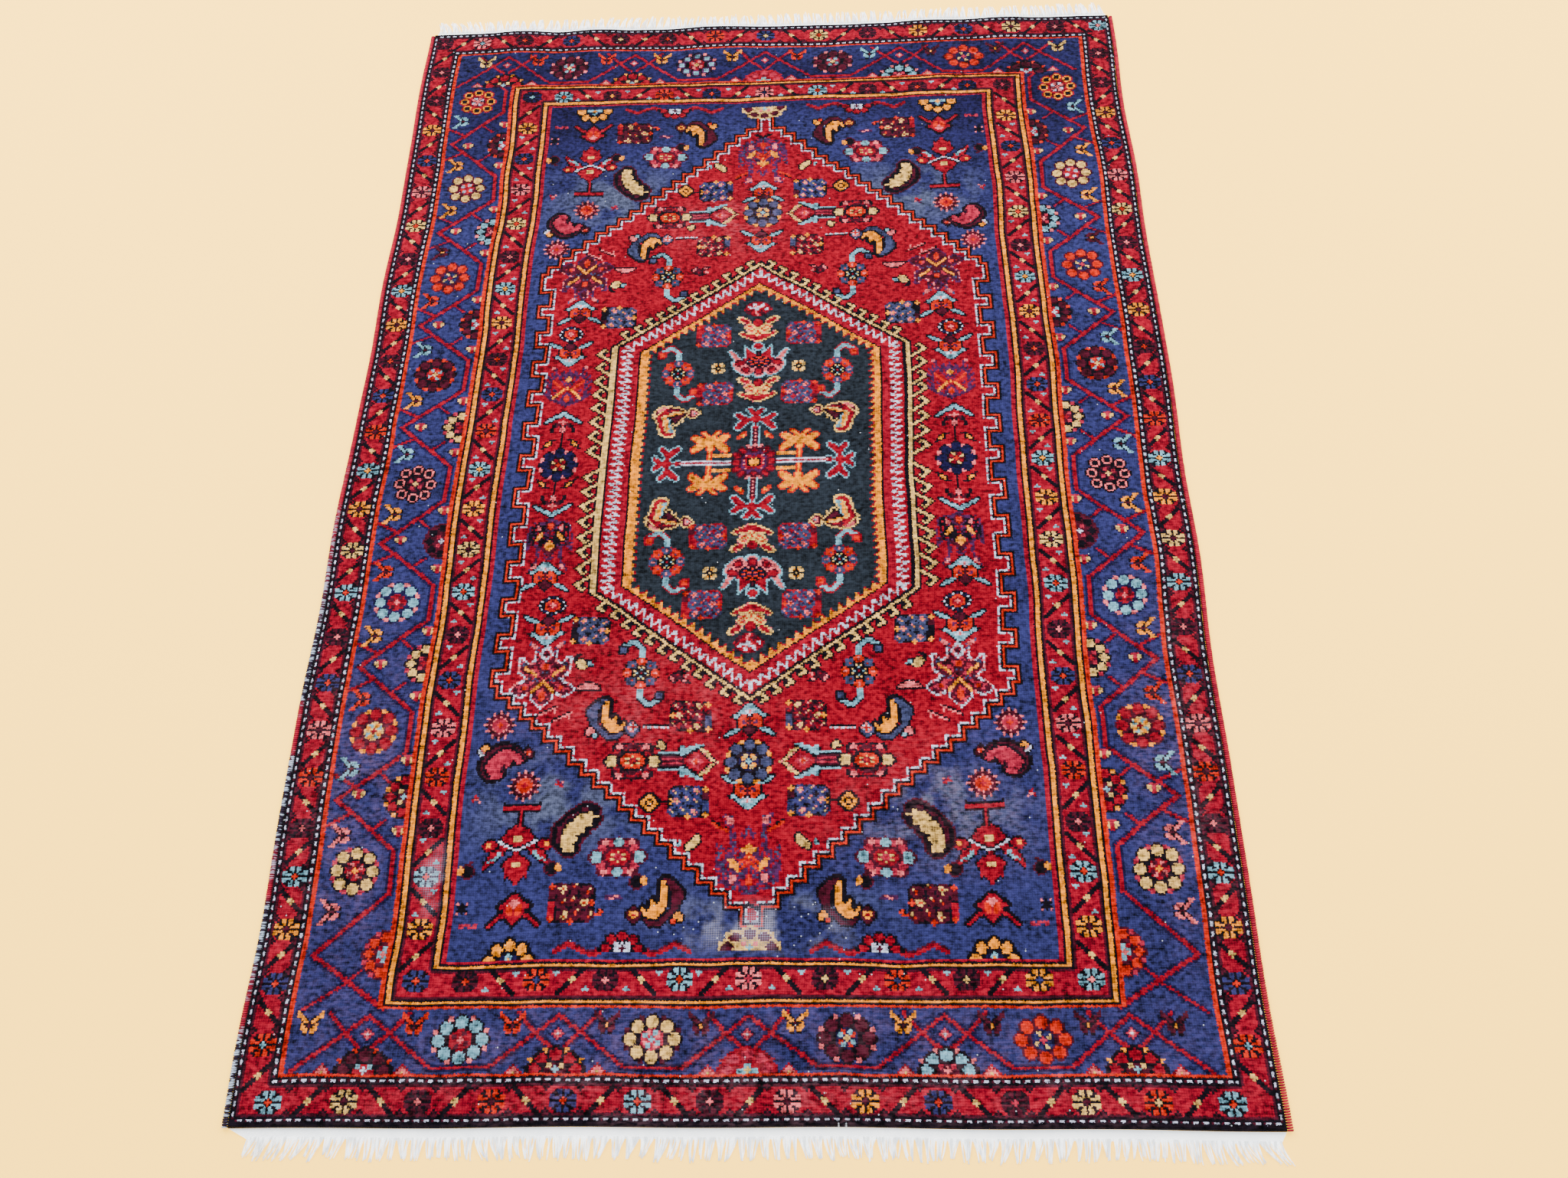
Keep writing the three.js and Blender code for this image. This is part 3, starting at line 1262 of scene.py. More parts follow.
on_blue = [
    (fans["gold"], 341, 1770, 200), (outlined(larger(half_chart(horned_rows), 1.1)), 341, 1710, 272),
    (larger(half_chart(palmette_rows), 1.12), 341, 1631, 348), (half_chart(stem_rows), 341, 1568, 406),
    (dotted_rosette(), 341, 1519, 446), (dotted_rosette("rose", "orange"), 297, 1432, 534),
    (outlined(charted(crescent_rows, c="rose", g="gold")), 307, 1484, 480),
    (outlined(outlined(larger(charted(half_moon_rows), 1.3)), "maroon"), 418, 1583, 381),
    (cross_rosette("light blue", "pink", "rose", "crimson", "maroon", "light blue"), 477, 1646, 339),
    (far_serrated, 532, 1703, 279, "flip"),
    (larger(square_flower("maroon", "crimson", "orange", "cream", "orange").yarn, 1.15), 420, 1705, 276),
    (seed, 389, 1642, 326), (seed, 272, 1645, 326, "flip"), (seed, 509, 1670, 308),
    (charted("i.k.i kkkkk .kkk. kkkkk i.k.i"), 270, 1695, 273),
    (charted(wave_line_rows), 438, 1765, 220), (charted(wave_line_rows), 545, 1765, 220, "flip"),
    (fans["red"], 492, 1768, 216), (fans["cream"], 656, 1769, 214),
    (charted("ppiipppp ppppiip"), 476, 1699, 284), (charted("ooo. .koo .kok"), 457, 1719, 265),
    (charted("hh..hhhh hhhhh.hh"), 280, 1730, 251), (charted("r..i rii. .rr. .r.."), 277, 1553, 427),
    (charted("..rr rrrp .rpi pp.."), 389, 1525, 448),
]
lay(on_blue, field & ~medallion)
side_rosette = cross_rosette("cream", "pink", "maroon", "orange").yarn
blue_square = square_flower("blue", "blue", "cream", "pink").yarn
red_square = square_flower("maroon", "slate", "pink", "cream").yarn
on_red = [
    (far_star, 655, 1631, 345),
    (half_chart("o.... oo... .oo.. o.oo. oo.oo .oo.o ..oo. ...oo ....o"), 655, 1643, 333),
    (half_chart("kkk... .kkkk. ...kkk .....k"), 655, 1691, 272),
    (chevron, 655, 1556, 434),
    (big_rosette(*named("akngclg")), 655, 1504, 478),
    (chevron[::-1], 655, 1437, 541), (dart, 569, 1501, 480, "same way"),
    (speckled(side_rosette, "maroon", "crimson", 0.45), 491, 1501, 480),
    (speckled(blue_square, "blue", "slate", 0.3), 571, 1561, 421, "flip"),
    (outlined(charted(lozenge_rows)), 516, 1564, 418), (charted("kkkkkkk"), 538, 1562, 420),
    (serrated, 462, 1431, 543), (charted("wiwwiwwiwwiw kkkkkkkkkkkk"), 523, 1451, 530),
    (charted("..i.. .wow. ioroi .wow. ..i.."), 490, 1451, 530),
    (speckled(red_square, "maroon", "crimson", 0.45), 573, 1432, 547, "flip"),
    (outlined(charted("..cc cccc .ccc .cc.")), 531, 1474, 502),
    (charted("ll kl .l"), 561, 1622, 361), (leaf, 581, 1620, 362), (orange_twig, 617, 1595, 384),
    (scroll_rosette("slate", "orange").yarn[:, ::-1], 497, 1363, 615, "same way"),
    (charted("kkkkkkkkkkkkkk .kiiiiiiiiiiik ..kiiiiiiiiik. ...kkiiiiikk.. .....kkkkk...."),
     422, 1377, 594),
    (charted(bow_rows), 413, 1342, 633), (charted(boteh_rows), 554, 1374, 608),
    (square_flower("slate", "black", "gold", "pink"), 415, 1276, 682),
    (white_star[::-1], 354, None, 611), (far_pointed_star[::-1], 354, 1361, None),
    (chevron, 351, 1288, 684), (small_rosette, 339, 1242, None),
    (small_rosette, 354, None, 728), (chevron[::-1], 340, 1199, 778),
    (open_star, 343, 1133, None), (star, 343, None, 835, "same way"),
    (half_chart(thin_chevron_rows), 341, 1071, 893), (half_chart(bud_on_stem_rows), 341, 1037, 927),
    (big_rosette(*named("nkmcroi"), wide=9.8, tall=8.6),
     341, 982, 982),
    (twig, 386, 1421, 544), (twig, 366, 1410, 555),
]
lay(on_red, medallion, axis=medallion_axis)

# %% The green hexagon's own motifs
arm = green & (np.abs(X - green_axis) < 128)
for half_high, yarn in ((4.8, "white"), (1.6, "crimson")):
    paint(arm & (np.abs(Y - middle_y) < half_high), yarn)
for way in (-1, 1):
    paint(green & (np.abs(X - green_axis) < 74) & (np.abs(Y - middle_y - way * 14.5) < 3.2), "gold")
fleur = half_chart(fleur_rows, i="orange", k="crimson", m="crimson")
fleur = speckled(speckled(fleur, "cream", "pink", 0.2), "cream", "slate", 0.14)
square = square_flower("slate", "crimson", "orange", "pink", "orange", "crimson").yarn
square = speckled(square, "slate", "purple", 0.3)
cross_flower = half_chart(cross_flower_rows)
on_green = [
    (charted(little_flower_rows), 652, 1290, 663), (fleur, 652, 1249, 703),
    (half_chart(red_star_rows), 652, 1181, 774), (fleur, 652, 1121, 841),
    (cross_flower, 652, 1047, 913), (half_chart(clover_rows), 580, 1013, 948),
    (square, 578, 1235, 726), (square, 583, 1113, 846),
    (scroll_rosette("orange", "slate", "crimson").yarn[:, ::-1], 522, 1157, 801, "same way"),
    (charted(and_mirrored(cream_knot_rows)), 586, 1167, 780), (charted(bird_rows), 523, 1064, 885),
    (charted("...oo ..ooo .oggo ooog. oo..."), 631, 1031, 927),
]
lay(on_green, green, axis=green_axis)
stamp(cross_flower[10:], 514, middle_y, axis=green_axis, quarter=3, only=green)
place(half_chart(and_mirrored(centre_rows)), green_axis, middle_y)
print("yarns used:", len(np.unique(chart)), "of", len(yarns))

# %% [markdown]
# ## The pile
# The pile and its cotton foundation are one slab, about nine millimetres thick. It could be a plain
# box, but then its edges would be razor sharp and its face dead flat. Here a grid is extruded into
# a slab, and its points are then moved: the rim is rounded as trimmed wool is, the face rises and
# sinks a little, and the whole slab is laid on the floor. Each face of the grid is a block of three
# by three knots, so the chart fits on it with no picture at all.

# %% Helpers for modelling
knots_in_block = 3
blocks_across, blocks_along = columns // knots_in_block, rows // knots_in_block


def start_piece(name, add, **settings):
    """Adds a primitive with nothing else selected, and names it."""
    bpy.ops.object.select_all(action="DESELECT")
    add(**settings)
    bpy.context.object.name = name
    return bpy.context.object


def edit(piece):
    """Starts to edit a piece, with all of it selected."""
    bpy.ops.object.select_all(action="DESELECT")
    piece.select_set(True)
    bpy.context.view_layer.objects.active = piece
    bpy.ops.object.mode_set(mode="EDIT")
    bpy.ops.mesh.select_all(action="SELECT")


def done(faces_outwards=True):
    """Ends the editing, and first turns all faces outwards unless told not to."""
    if faces_outwards:
        bpy.ops.mesh.select_all(action="SELECT")
        bpy.ops.mesh.normals_make_consistent(inside=False)
    bpy.ops.object.mode_set(mode="OBJECT")


def repeat(piece, count, step, **merging):
    """Repeats a piece in a row, one step in millimetres after another."""
    array = piece.modifiers.new("row", "ARRAY")
    array.count = count
    array.use_relative_offset = False
    array.use_constant_offset = True
    array.constant_offset_displace = [part * mm for part in step]
    for name, value in merging.items():
        setattr(array, name, value)
    bpy.ops.object.modifier_apply(modifier=array.name)


def points_of(piece):
    """A mesh's points, in millimetres."""
    flat = np.empty(len(piece.data.vertices) * 3)
    piece.data.vertices.foreach_get("co", flat)
    return flat.reshape(-1, 3) / mm


def move_points(piece, points):
    piece.data.vertices.foreach_set("co", (points * mm).ravel())
    piece.data.update()


def lay_down(piece, points):
    """Settles a piece of the straight rug on the floor, in the model's own frame."""
    move_points(piece, settle(points) + shift)


def corners_of(piece):
    """The point of each face corner, and the face that the corner belongs to."""
    point = np.empty(len(piece.data.loops), int)
    piece.data.loops.foreach_get("vertex_index", point)
    size = np.empty(len(piece.data.polygons), int)
    piece.data.polygons.foreach_get("loop_total", size)
    return point, np.repeat(np.arange(len(size)), size)


def middles_of(piece, points):
    """The middle of each face."""
    point, face = corners_of(piece)
    count = np.bincount(face)
    return np.column_stack([np.bincount(face, points[point, axis]) / count for axis in range(3)])


def facing_of(piece):
    """The way each face points."""
    flat = np.empty(len(piece.data.polygons) * 3)
    piece.data.polygons.foreach_get("normal", flat)
    return flat.reshape(-1, 3)


def add_map(piece, name, values):
    """Gives a piece a UV map from a pair of numbers for each face corner."""
    layer = piece.data.uv_layers.get(name) or piece.data.uv_layers.new(name=name)
    layer.data.foreach_set("uv", values.ravel())


def smooth_noise(x, y, size, seed):
    """Random numbers from -1 to 1, smoothed over a distance, at any places."""
    random = np.random.default_rng(seed).uniform(-1, 1, (64, 64))
    u, v = x / size + 17.3, y / size + 9.1
    left, low = np.floor(u).astype(int), np.floor(v).astype(int)
    s, t = u - left, v - low
    s, t = s * s * (3 - 2 * s), t * t * (3 - 2 * t)
    pick = lambda across, along: random[(low + along) % 64, (left + across) % 64]
    return ((pick(0, 0) * (1 - s) + pick(1, 0) * s) * (1 - t)
            + (pick(0, 1) * (1 - s) + pick(1, 1) * s) * t)


# %% The straight slab
foundation_high, shoulder_high = 3.0, 7.4
pile = start_piece("pile_of_wool", bpy.ops.mesh.primitive_grid_add, x_subdivisions=blocks_across,
                   y_subdivisions=blocks_along, size=1)
edit(pile)
bpy.ops.transform.resize(value=(pile_wide * mm, pile_long * mm, 1))
low = 0.0
for high in (foundation_high, shoulder_high, pile_thick):
    bpy.ops.mesh.extrude_region_move(TRANSFORM_OT_translate={"value": (0, 0, (high - low) * mm)})
    low = high
done()
straight = points_of(pile)
print("pile:", len(pile.data.polygons), "faces, box", np.ptp(straight, axis=0).round(1), "mm")

# %% [markdown]
# Each face of the grid keeps the yarns of its nine knots. There are sixteen yarns, so three knots
# side by side fit into one whole number, as three digits in base sixteen, and a vector of three
# such numbers holds the block. A map in knots says which of the nine the shader is on. The edges
# take the knots beside them. A second map, for baking, keeps the face, the back and the edges apart.

# %% The chart on the slab
facing = facing_of(pile)
middle = middles_of(pile, straight)
point, face = corners_of(pile)
share = straight[:, :2] / (pile_wide, pile_long) + 0.5
block_column = np.clip((middle[:, 0] / pile_wide + 0.5) * blocks_across, 0, blocks_across - 1).astype(int)
block_row = np.clip((middle[:, 1] / pile_long + 0.5) * blocks_along, 0, blocks_along - 1).astype(int)
block = chart.reshape(blocks_along, 3, blocks_across, 3).transpose(0, 2, 1, 3)[block_row, block_column]
digits = block @ np.array([1, 16, 256])
attribute = pile.data.attributes.new("yarns", "FLOAT_VECTOR", "FACE")
attribute.data.foreach_set("vector", digits.astype(float).ravel())

knot_place = share[point] * (columns, rows)
level = np.abs(facing[face, 2]) > 0.5
inside = np.array([0.5, 0.5])
beside = np.clip(knot_place, inside, np.array([columns, rows]) - inside)
add_map(pile, "knots", np.where(level[:, None], knot_place, beside))

face_share, edge_share = pile_wide / pile_long, 0.008
up_side = facing[face, 2] > 0.5
baked = share[point] * (face_share, 1.0)
back_start = face_share + 2 * edge_share
baked[~up_side, 0] = back_start + share[point][~up_side, 0] * (1 - back_start)
rim_u = face_share + edge_share * (0.5 + straight[point, 2] / pile_thick)
rim_v = np.where(np.abs(facing[face, 0]) > 0.5, share[point, 1], share[point, 0])
baked[~level] = np.column_stack([rim_u, rim_v])[~level]
add_map(pile, "OFBake", baked)
print("chart laid on", level.sum() // 4, "blocks")

# %% The slab laid on the floor
# place across, place from the front edge, half width and half length of each
worn_places = ((14, 245, 150, 44), (-432, 312, 26, 66))
# patches where a faint pink painted sheen lies on the pile
sheen_places = ((-150, 560, 300, 150), (240, 420, 240, 150), (0, 60, 900, 150), (-60, 1480, 190, 120),
                (-560, 420, 120, 420), (590, 500, 110, 420))
# where the far corners are darker: navy wool of another bath, and painted shade
dark_places = ((-420, 1800, 380, 330), (430, 1800, 380, 330), (0, 1830, 400, 150), (-330, 900, 40, 400))
grey_places = ((-260, 1540, 190, 110), (250, 1540, 190, 110), (-270, 420, 170, 110), (260, 410, 170, 110),
               (20, 260, 220, 60))


def patches(places, x, y):
    """From 0 to 1 in patches; y is counted from the front edge."""
    return np.clip(sum(hump((x - at_x) / wide) * hump((y - at_y) / long)
                       for at_x, at_y, wide, long in places), 0, 1)


points = straight.copy()
x, y, z = straight.T
to_side = np.minimum(pile_wide / 2 - np.abs(x), pile_long / 2 - np.abs(y))
on_face = z > shoulder_high - 0.1
drawn_in = np.select([z > pile_thick - 0.1, z > shoulder_high - 0.1], [2.0, 0.7], 0.0) * (to_side < 0.5)
points[:, 0] -= np.sign(x) * drawn_in * (pile_wide / 2 - np.abs(x) < 0.5)
points[:, 1] -= np.sign(y) * drawn_in * (pile_long / 2 - np.abs(y) < 0.5)
uneven = (0.35 * smooth_noise(x, y, 34, 4) + 0.2 * smooth_noise(x, y, 13, 5)
          + 0.25 * smooth_noise(x, y, 120, 6))
stray = np.clip((to_side - 6) / 60, 0, 1)
points[:, 0] += stray * (1.5 * smooth_noise(x, y, 90, 7) + 0.7 * smooth_noise(x, y, 38, 8))
points[:, 1] += stray * (2.6 * smooth_noise(x, y, 110, 9) + 1.2 * smooth_noise(x, y, 42, 10))
points[:, 2] += on_face * (uneven - 0.35 - 1.6 * patches(worn_places, x, y + pile_long / 2))
lay_down(pile, points)
bpy.ops.object.shade_smooth_by_angle(angle=np.radians(50))

# %% [markdown]
# ## The bound sides
# Along each side the outermost warps are wrapped with wool into an oval cord. A smooth tube would
# look like a cable. So one turn of the wrapping is modelled, full in its middle and pinched at
# both ends, and repeated by an array along the whole side.

# %% One turn, repeated
turns = 648
turn_long = pile_long / turns


def bound_side(name, side):
    """The wrapped cord down one long side."""
    sides, steps = 10, 4
    cord = start_piece(name, bpy.ops.mesh.primitive_circle_add, vertices=sides, radius=0.5,
                       fill_type="NOTHING")
    edit(cord)
    bpy.ops.transform.rotate(value=np.pi / 2, orient_axis="X", center_override=(0, 0, 0))
    bpy.ops.transform.resize(value=(binding_wide * mm, 1, binding_high * mm))
    for _ in range(steps):
        bpy.ops.mesh.extrude_edges_move(
            TRANSFORM_OT_translate={"value": (0, turn_long / steps * mm, 0)})
    done(faces_outwards=False)
    points = points_of(cord)
    along = points[:, 1] - points[:, 1].min()
    full = 0.9 + 0.1 * np.sin(np.pi * along / turn_long) ** 0.7
    points[:, [0, 2]] *= full[:, None]
    points[:, 1] = along + 0.9 * points[:, 0] / binding_wide
    move_points(cord, points)
    repeat(cord, turns, (0, turn_long, 0), use_merge_vertices=True, merge_threshold=0.05 * mm)
    edit(cord)
    bpy.ops.mesh.fill_holes(sides=0)
    done()
    points = points_of(cord)
    points[:, 1] = np.clip(points[:, 1], 0.3, pile_long - 0.3) - pile_long / 2
    point, face = corners_of(cord)
    middle = middles_of(cord, points)
    rows_of_map = 24
    row_long = pile_long / rows_of_map
    row = np.clip((middle[:, 1] + pile_long / 2) // row_long, 0, rows_of_map - 1)[face]
    turned = np.arctan2(middle[:, 2], middle[:, 0])[face]
    around = np.arctan2(points[point, 2], points[point, 0])
    around = turned + (around - turned + np.pi) % (2 * np.pi) - np.pi
    add_map(cord, "OFBake", np.column_stack([
        np.clip((points[point, 1] + pile_long / 2 - row * row_long) / row_long, 0, 1),
        (row + 0.04 + 0.92 * np.clip(around / (2 * np.pi) + 0.5, 0, 1)) / rows_of_map]))
    loose = 1 + 0.05 * smooth_noise(points[:, 1], points[:, 0] * 0, 5, 11 + side)
    points[:, [0, 2]] *= loose[:, None]
    points[:, 0] += side * (pile_wide / 2 + seam + binding_wide / 2)
    points[:, 2] += binding_high / 2
    lay_down(cord, points)
    bpy.ops.object.shade_smooth()
    print(name, len(cord.data.polygons), "faces")
    return cord


left_binding = bound_side("left_binding", -1)
right_binding = bound_side("right_binding", 1)

# %% [markdown]
# ## The woven ends and the fringe
# Beyond the last row of knots the cotton weft goes on for a centimetre, and holds the knots in.
# The strip is a thin ribbed slab. Past it the warps hang free: they were cut to one length, but
# years of sweeping have twisted them into small pointed tufts that lean this way and that.

# %% The woven strips
ribs = 420


def woven_strip(name, end):
    """The ribbed cotton strip at one end, its outer corners tucked in."""
    strip = start_piece(name, bpy.ops.mesh.primitive_grid_add, x_subdivisions=ribs * 2, y_subdivisions=6,
                        size=1)
    edit(strip)
    bpy.ops.transform.resize(value=(pile_wide * mm, end["strip"] * mm, 1))
    bpy.ops.mesh.extrude_region_move(TRANSFORM_OT_translate={"value": (0, 0, strip_thick * mm)})
    done()
    points = points_of(strip)
    x, y, z = points.T
    outwards = y * end["way"] / end["strip"] + 0.5
    on_rib = np.round((x / pile_wide + 0.5) * ribs * 2).astype(int) % 2
    top = z > strip_thick / 2
    rim = np.abs(outwards - 0.5) > 0.49
    points[:, 2] = np.where(top, strip_thick - 0.35 * on_rib - 0.45 * rim, 0.2 * on_rib + 0.25 * rim)
    share = x / pile_wide + 0.5
    points[:, 0] += outwards * (end["tuck_left"] * (1 - share) - end["tuck_right"] * share)
    points[:, 1] += end["way"] * (pile_long / 2 + seam + end["strip"] / 2)
    points[:, 1] += end["way"] * 0.5 * (outwards > 0.99) * smooth_noise(x, y, 9, 21)
    lay_down(strip, points)
    bpy.ops.object.shade_smooth_by_angle(angle=np.radians(60))
    print(name, len(strip.data.polygons), "faces")
    return strip


front_strip = woven_strip("front_weave", ends["front"])
back_strip = woven_strip("back_weave", ends["back"])

# %% The strands
# place across, lean at the tips and half width of each tuft that leans
leans = {
    "front": ((-590, -11, 170), (-330, 5, 90), (-120, -4, 120), (110, 5, 110), (350, -4, 130),
              (650, 14, 170)),
    "back": ((-650, -12, 190), (-280, 5, 140), (40, -4, 130), (330, 4, 120), (560, -3, 90)),
}
strands = 560
strand_thick, tip_thick = 2.8, 1.5


def tufts(random):
    """The tuft that each strand belongs to, and where the tuft gathers, as a share across."""
    tuft = np.repeat(np.arange(strands), random.integers(3, 9, strands))[:strands]
    count = np.bincount(tuft)
    gathered = np.bincount(tuft, (np.arange(strands) + 0.5) / strands) / count
    return tuft, gathered + random.uniform(-0.25, 0.25, len(count)) * count / strands


def fringe(name, which, seed):
    """All the loose strands of one end."""
    end = ends[which]
    sides, steps = 5, 6
    strand = start_piece(name, bpy.ops.mesh.primitive_circle_add, vertices=sides, radius=0.5 * mm,
                         fill_type="NGON")
    edit(strand)
    bpy.ops.transform.rotate(value=np.pi / 2, orient_axis="X", center_override=(0, 0, 0))
    for _ in range(steps):
        bpy.ops.mesh.extrude_region_move(TRANSFORM_OT_translate={"value": (0, mm / steps, 0)})
    done()
    each = len(strand.data.vertices)
    repeat(strand, strands, (2, 0, 0))
    points = points_of(strand)
    index = np.repeat(np.arange(strands), each)
    random = np.random.default_rng(seed)
    out = np.clip(points[:, 1] - points[:, 1].min(), 0, 1)
    round_x, round_z = points[:, 0] - 2 * index, points[:, 2]
    own = lambda low, high: random.uniform(low, high, strands)[index]
    tuft, gathered = tufts(random)
    share = (np.arange(strands) + random.uniform(0.2, 0.8, strands)) / strands
    room = pile_wide - end["tuck_left"] - end["tuck_right"]
    root = (-pile_wide / 2 + end["tuck_left"] + share * room)[index]
    tip = (-pile_wide / 2 + end["tuck_left"] + gathered * room)[tuft][index]
    long = own(end["shortest"], end["longest"]) * random.uniform(0.88, 1.06, len(gathered))[tuft][index]
    pull = own(0.35, 0.92)
    swing = humps(leans[which], root) + random.normal(0, 1.6, len(gathered))[tuft][index] + own(-1.2, 1.2)
    aside = (tip - root) * pull * out ** 0.9 + swing * out ** 1.6 + own(-1.3, 1.3) * np.sin(np.pi * out)
    thick = strand_thick + (tip_thick - strand_thick) * out
    rise = own(0.0, 2.2) * np.sin(np.pi * out) ** 2
    in_strip = 2.5
    reach = pile_long / 2 + seam + end["strip"] - in_strip + out * (long + in_strip)
    middle_high = thick / 2 + 0.1 + rise
    points = np.column_stack([root + aside + round_x * thick, end["way"] * reach,
                              middle_high + round_z * thick])
    lay_down(strand, points)
    if end["way"] < 0:  # pointing the other way has turned the strands inside out
        edit(strand)
        bpy.ops.mesh.flip_normals()
        done(faces_outwards=False)
    bpy.ops.object.shade_smooth()
    print(name, len(strand.data.polygons), "faces, tips up to",
          round(float(np.abs(points[:, 1]).max()) - pile_long / 2, 1), "mm out")
    return strand


front_fringe = fringe("front_fringe", "front", 31)
back_fringe = fringe("back_fringe", "back", 32)

# %% [markdown]
# ## The yarns as materials
# A photograph of the rug could be painted on, but it would blur close by and carry its own light.
# Procedural nodes keep every knot sharp. Shader maths is easier to read as Python, so a small
# class wraps a socket: an expression on wrapped sockets adds the Math nodes by itself.

# %% Nodes from expressions
class Value:
    """A socket that can be used in an expression."""

    def __init__(self, finish, socket):
        self.finish, self.socket = finish, socket

    def maths(self, operation, *others):
        return self.finish.node("ShaderNodeMath", {"operation": operation},
                                dict(enumerate((self, *others))))

    def __add__(self, other):
        return self.maths("ADD", other)

    def __mul__(self, other):
        return self.maths("MULTIPLY", other)

    __radd__, __rmul__ = __add__, __mul__

    def __sub__(self, other):
        return self.maths("SUBTRACT", other)

    def __rsub__(self, other):
        return self * -1 + other

    def __truediv__(self, other):
        return self.maths("DIVIDE", other)

    def __pow__(self, other):
        return self.maths("POWER", other)

    def __mod__(self, other):
        return self.maths("MODULO", other)

    def __lt__(self, other):
        return self.maths("LESS_THAN", other)

    def __gt__(self, other):
        return self.maths("GREATER_THAN", other)

    def output(self, name):
        """Another output of the same node."""
        return Value(self.finish, self.socket.node.outputs[name])

    def within(self, low, high):
        return self.finish.node("ShaderNodeClamp", {}, {0: self, 1: low, 2: high})

    def between(self, low, high, start=0.0, end=1.0):
        """Goes smoothly from start to end while this goes from low to high."""
        return self.finish.node("ShaderNodeMapRange", {"interpolation_type": "SMOOTHSTEP"},
                                {0: self, 1: low, 2: high, 3: start, 4: end})


class Finish:
    """A material under construction."""

    def __init__(self, name):
        self.material = bpy.data.materials.new(name)
        self.material.use_nodes = True
        self.tree = self.material.node_tree
        self.shader = self.tree.nodes["Principled BSDF"]
        self.object = self.node("ShaderNodeTexCoord").output("Object")

    def node(self, kind, settings=None, sockets=None):
        """Adds a node: its settings first, then the values or links of its sockets."""
        node = self.tree.nodes.new(kind)
        for name, value in (settings or {}).items():
            if name == "stops":
                node.color_ramp.interpolation = "CONSTANT"
                while len(node.color_ramp.elements) < len(value):
                    node.color_ramp.elements.new(0.5)
                for element, (position, colour) in zip(node.color_ramp.elements, value):
                    element.position, element.color = position, (*colour, 1)
            else:
                setattr(node, name, value)
        for key, value in (sockets or {}).items():
            if isinstance(value, Value):
                self.tree.links.new(value.socket, node.inputs[key])
            else:
                node.inputs[key].default_value = value
        return Value(self, next(socket for socket in node.outputs if socket.enabled))

    def noise(self, scale, detail=2.0, vector=None, stretch=None):
        vector = vector or self.object
        if stretch:
            vector = self.node("ShaderNodeVectorMath", {"operation": "MULTIPLY"},
                               {0: vector, 1: stretch})
        return self.node("ShaderNodeTexNoise", {},
                         {"Vector": vector, "Scale": scale, "Detail": detail})

    def mix(self, share, first, second, blend="MIX"):
        first, second = [colour if isinstance(colour, Value) else (*colour, 1)
                         for colour in (first, second)]
        return self.node("ShaderNodeMix", {"data_type": "RGBA", "blend_type": blend},
                         {0: share, 6: first, 7: second})

    def finish(self, colour, height, bump, distance, **constants):
        """Joins colour and relief to the shader, and sets what is the same all over."""
        normal = self.node("ShaderNodeBump", {},
                           {"Strength": bump, "Distance": distance, "Height": height})
        self.tree.links.new(colour.socket, self.shader.inputs["Base Color"])
        self.tree.links.new(normal.socket, self.shader.inputs["Normal"])
        for name, value in constants.items():
            self.shader.inputs[name.replace("_", " ")].default_value = value
        return self.material


# %% [markdown]
# On the pile, the shader first finds which knot it is on, with the borders between knots made
# ragged by a little noise, as cut wool is. It then takes that knot's digit out of the block's
# number, and a ramp of sixteen stops turns it into dye. Wool from different dye baths varies
# across the rug and single knots differ. Light and shade are painted in as well: the colour
# follows the relief of the pile, lighter at the tips of the tufts and darker in its hollows,
# and a faint pink painted sheen lies on some patches. Where the pile is worn thin the pale
# cotton foundation shows between the knots.

# %% The wool of the pile
for name, places in (("wear", worn_places), ("sun", sheen_places), ("dark", dark_places),
                     ("grey", grey_places)):
    layer = pile.data.attributes.new(name, "FLOAT", "POINT")
    layer.data.foreach_set("value", patches(places, x, y + pile_long / 2))

wool = Finish("knotted_wool")
knots = wool.node("ShaderNodeUVMap", {"uv_map": "knots"})
raggedness = 2.0
ragged = wool.noise(1.1, 2.0, knots)
ragged_too = wool.noise(1.1, 2.0, knots, (-1.0, 1.0, 1.0))
in_knots = wool.node("ShaderNodeSeparateXYZ", {}, {0: knots})
across, along_rug = in_knots, in_knots.output("Y")
block_x, block_y = (across / 3).maths("FLOOR") * 3, (along_rug / 3).maths("FLOOR") * 3
place_x = (across - block_x + (ragged - 0.5) * raggedness).within(0.001, 2.999).maths("FLOOR")
place_y = (along_rug - block_y + (ragged_too - 0.5) * raggedness).within(0.001, 2.999).maths("FLOOR")
codes = wool.node("ShaderNodeAttribute", {"attribute_name": "yarns"}).output("Vector")
code = wool.node("ShaderNodeSeparateXYZ", {}, {0: codes})
low_row, high_row = place_y < 0.5, place_y > 1.5
code = (code * low_row + code.output("Z") * high_row
        + code.output("Y") * (1 - low_row - high_row))
sixteen = wool.node("ShaderNodeMath", {"operation": "POWER"}, {0: 16.0, 1: place_x})
digit = ((code + 0.2) / sixteen).maths("FLOOR") % 16
dye = wool.node("ShaderNodeValToRGB", {"stops": [
    (place / 16, yarns[name]) for name, place in number.items()]}, {0: (digit + 0.5) / 16})

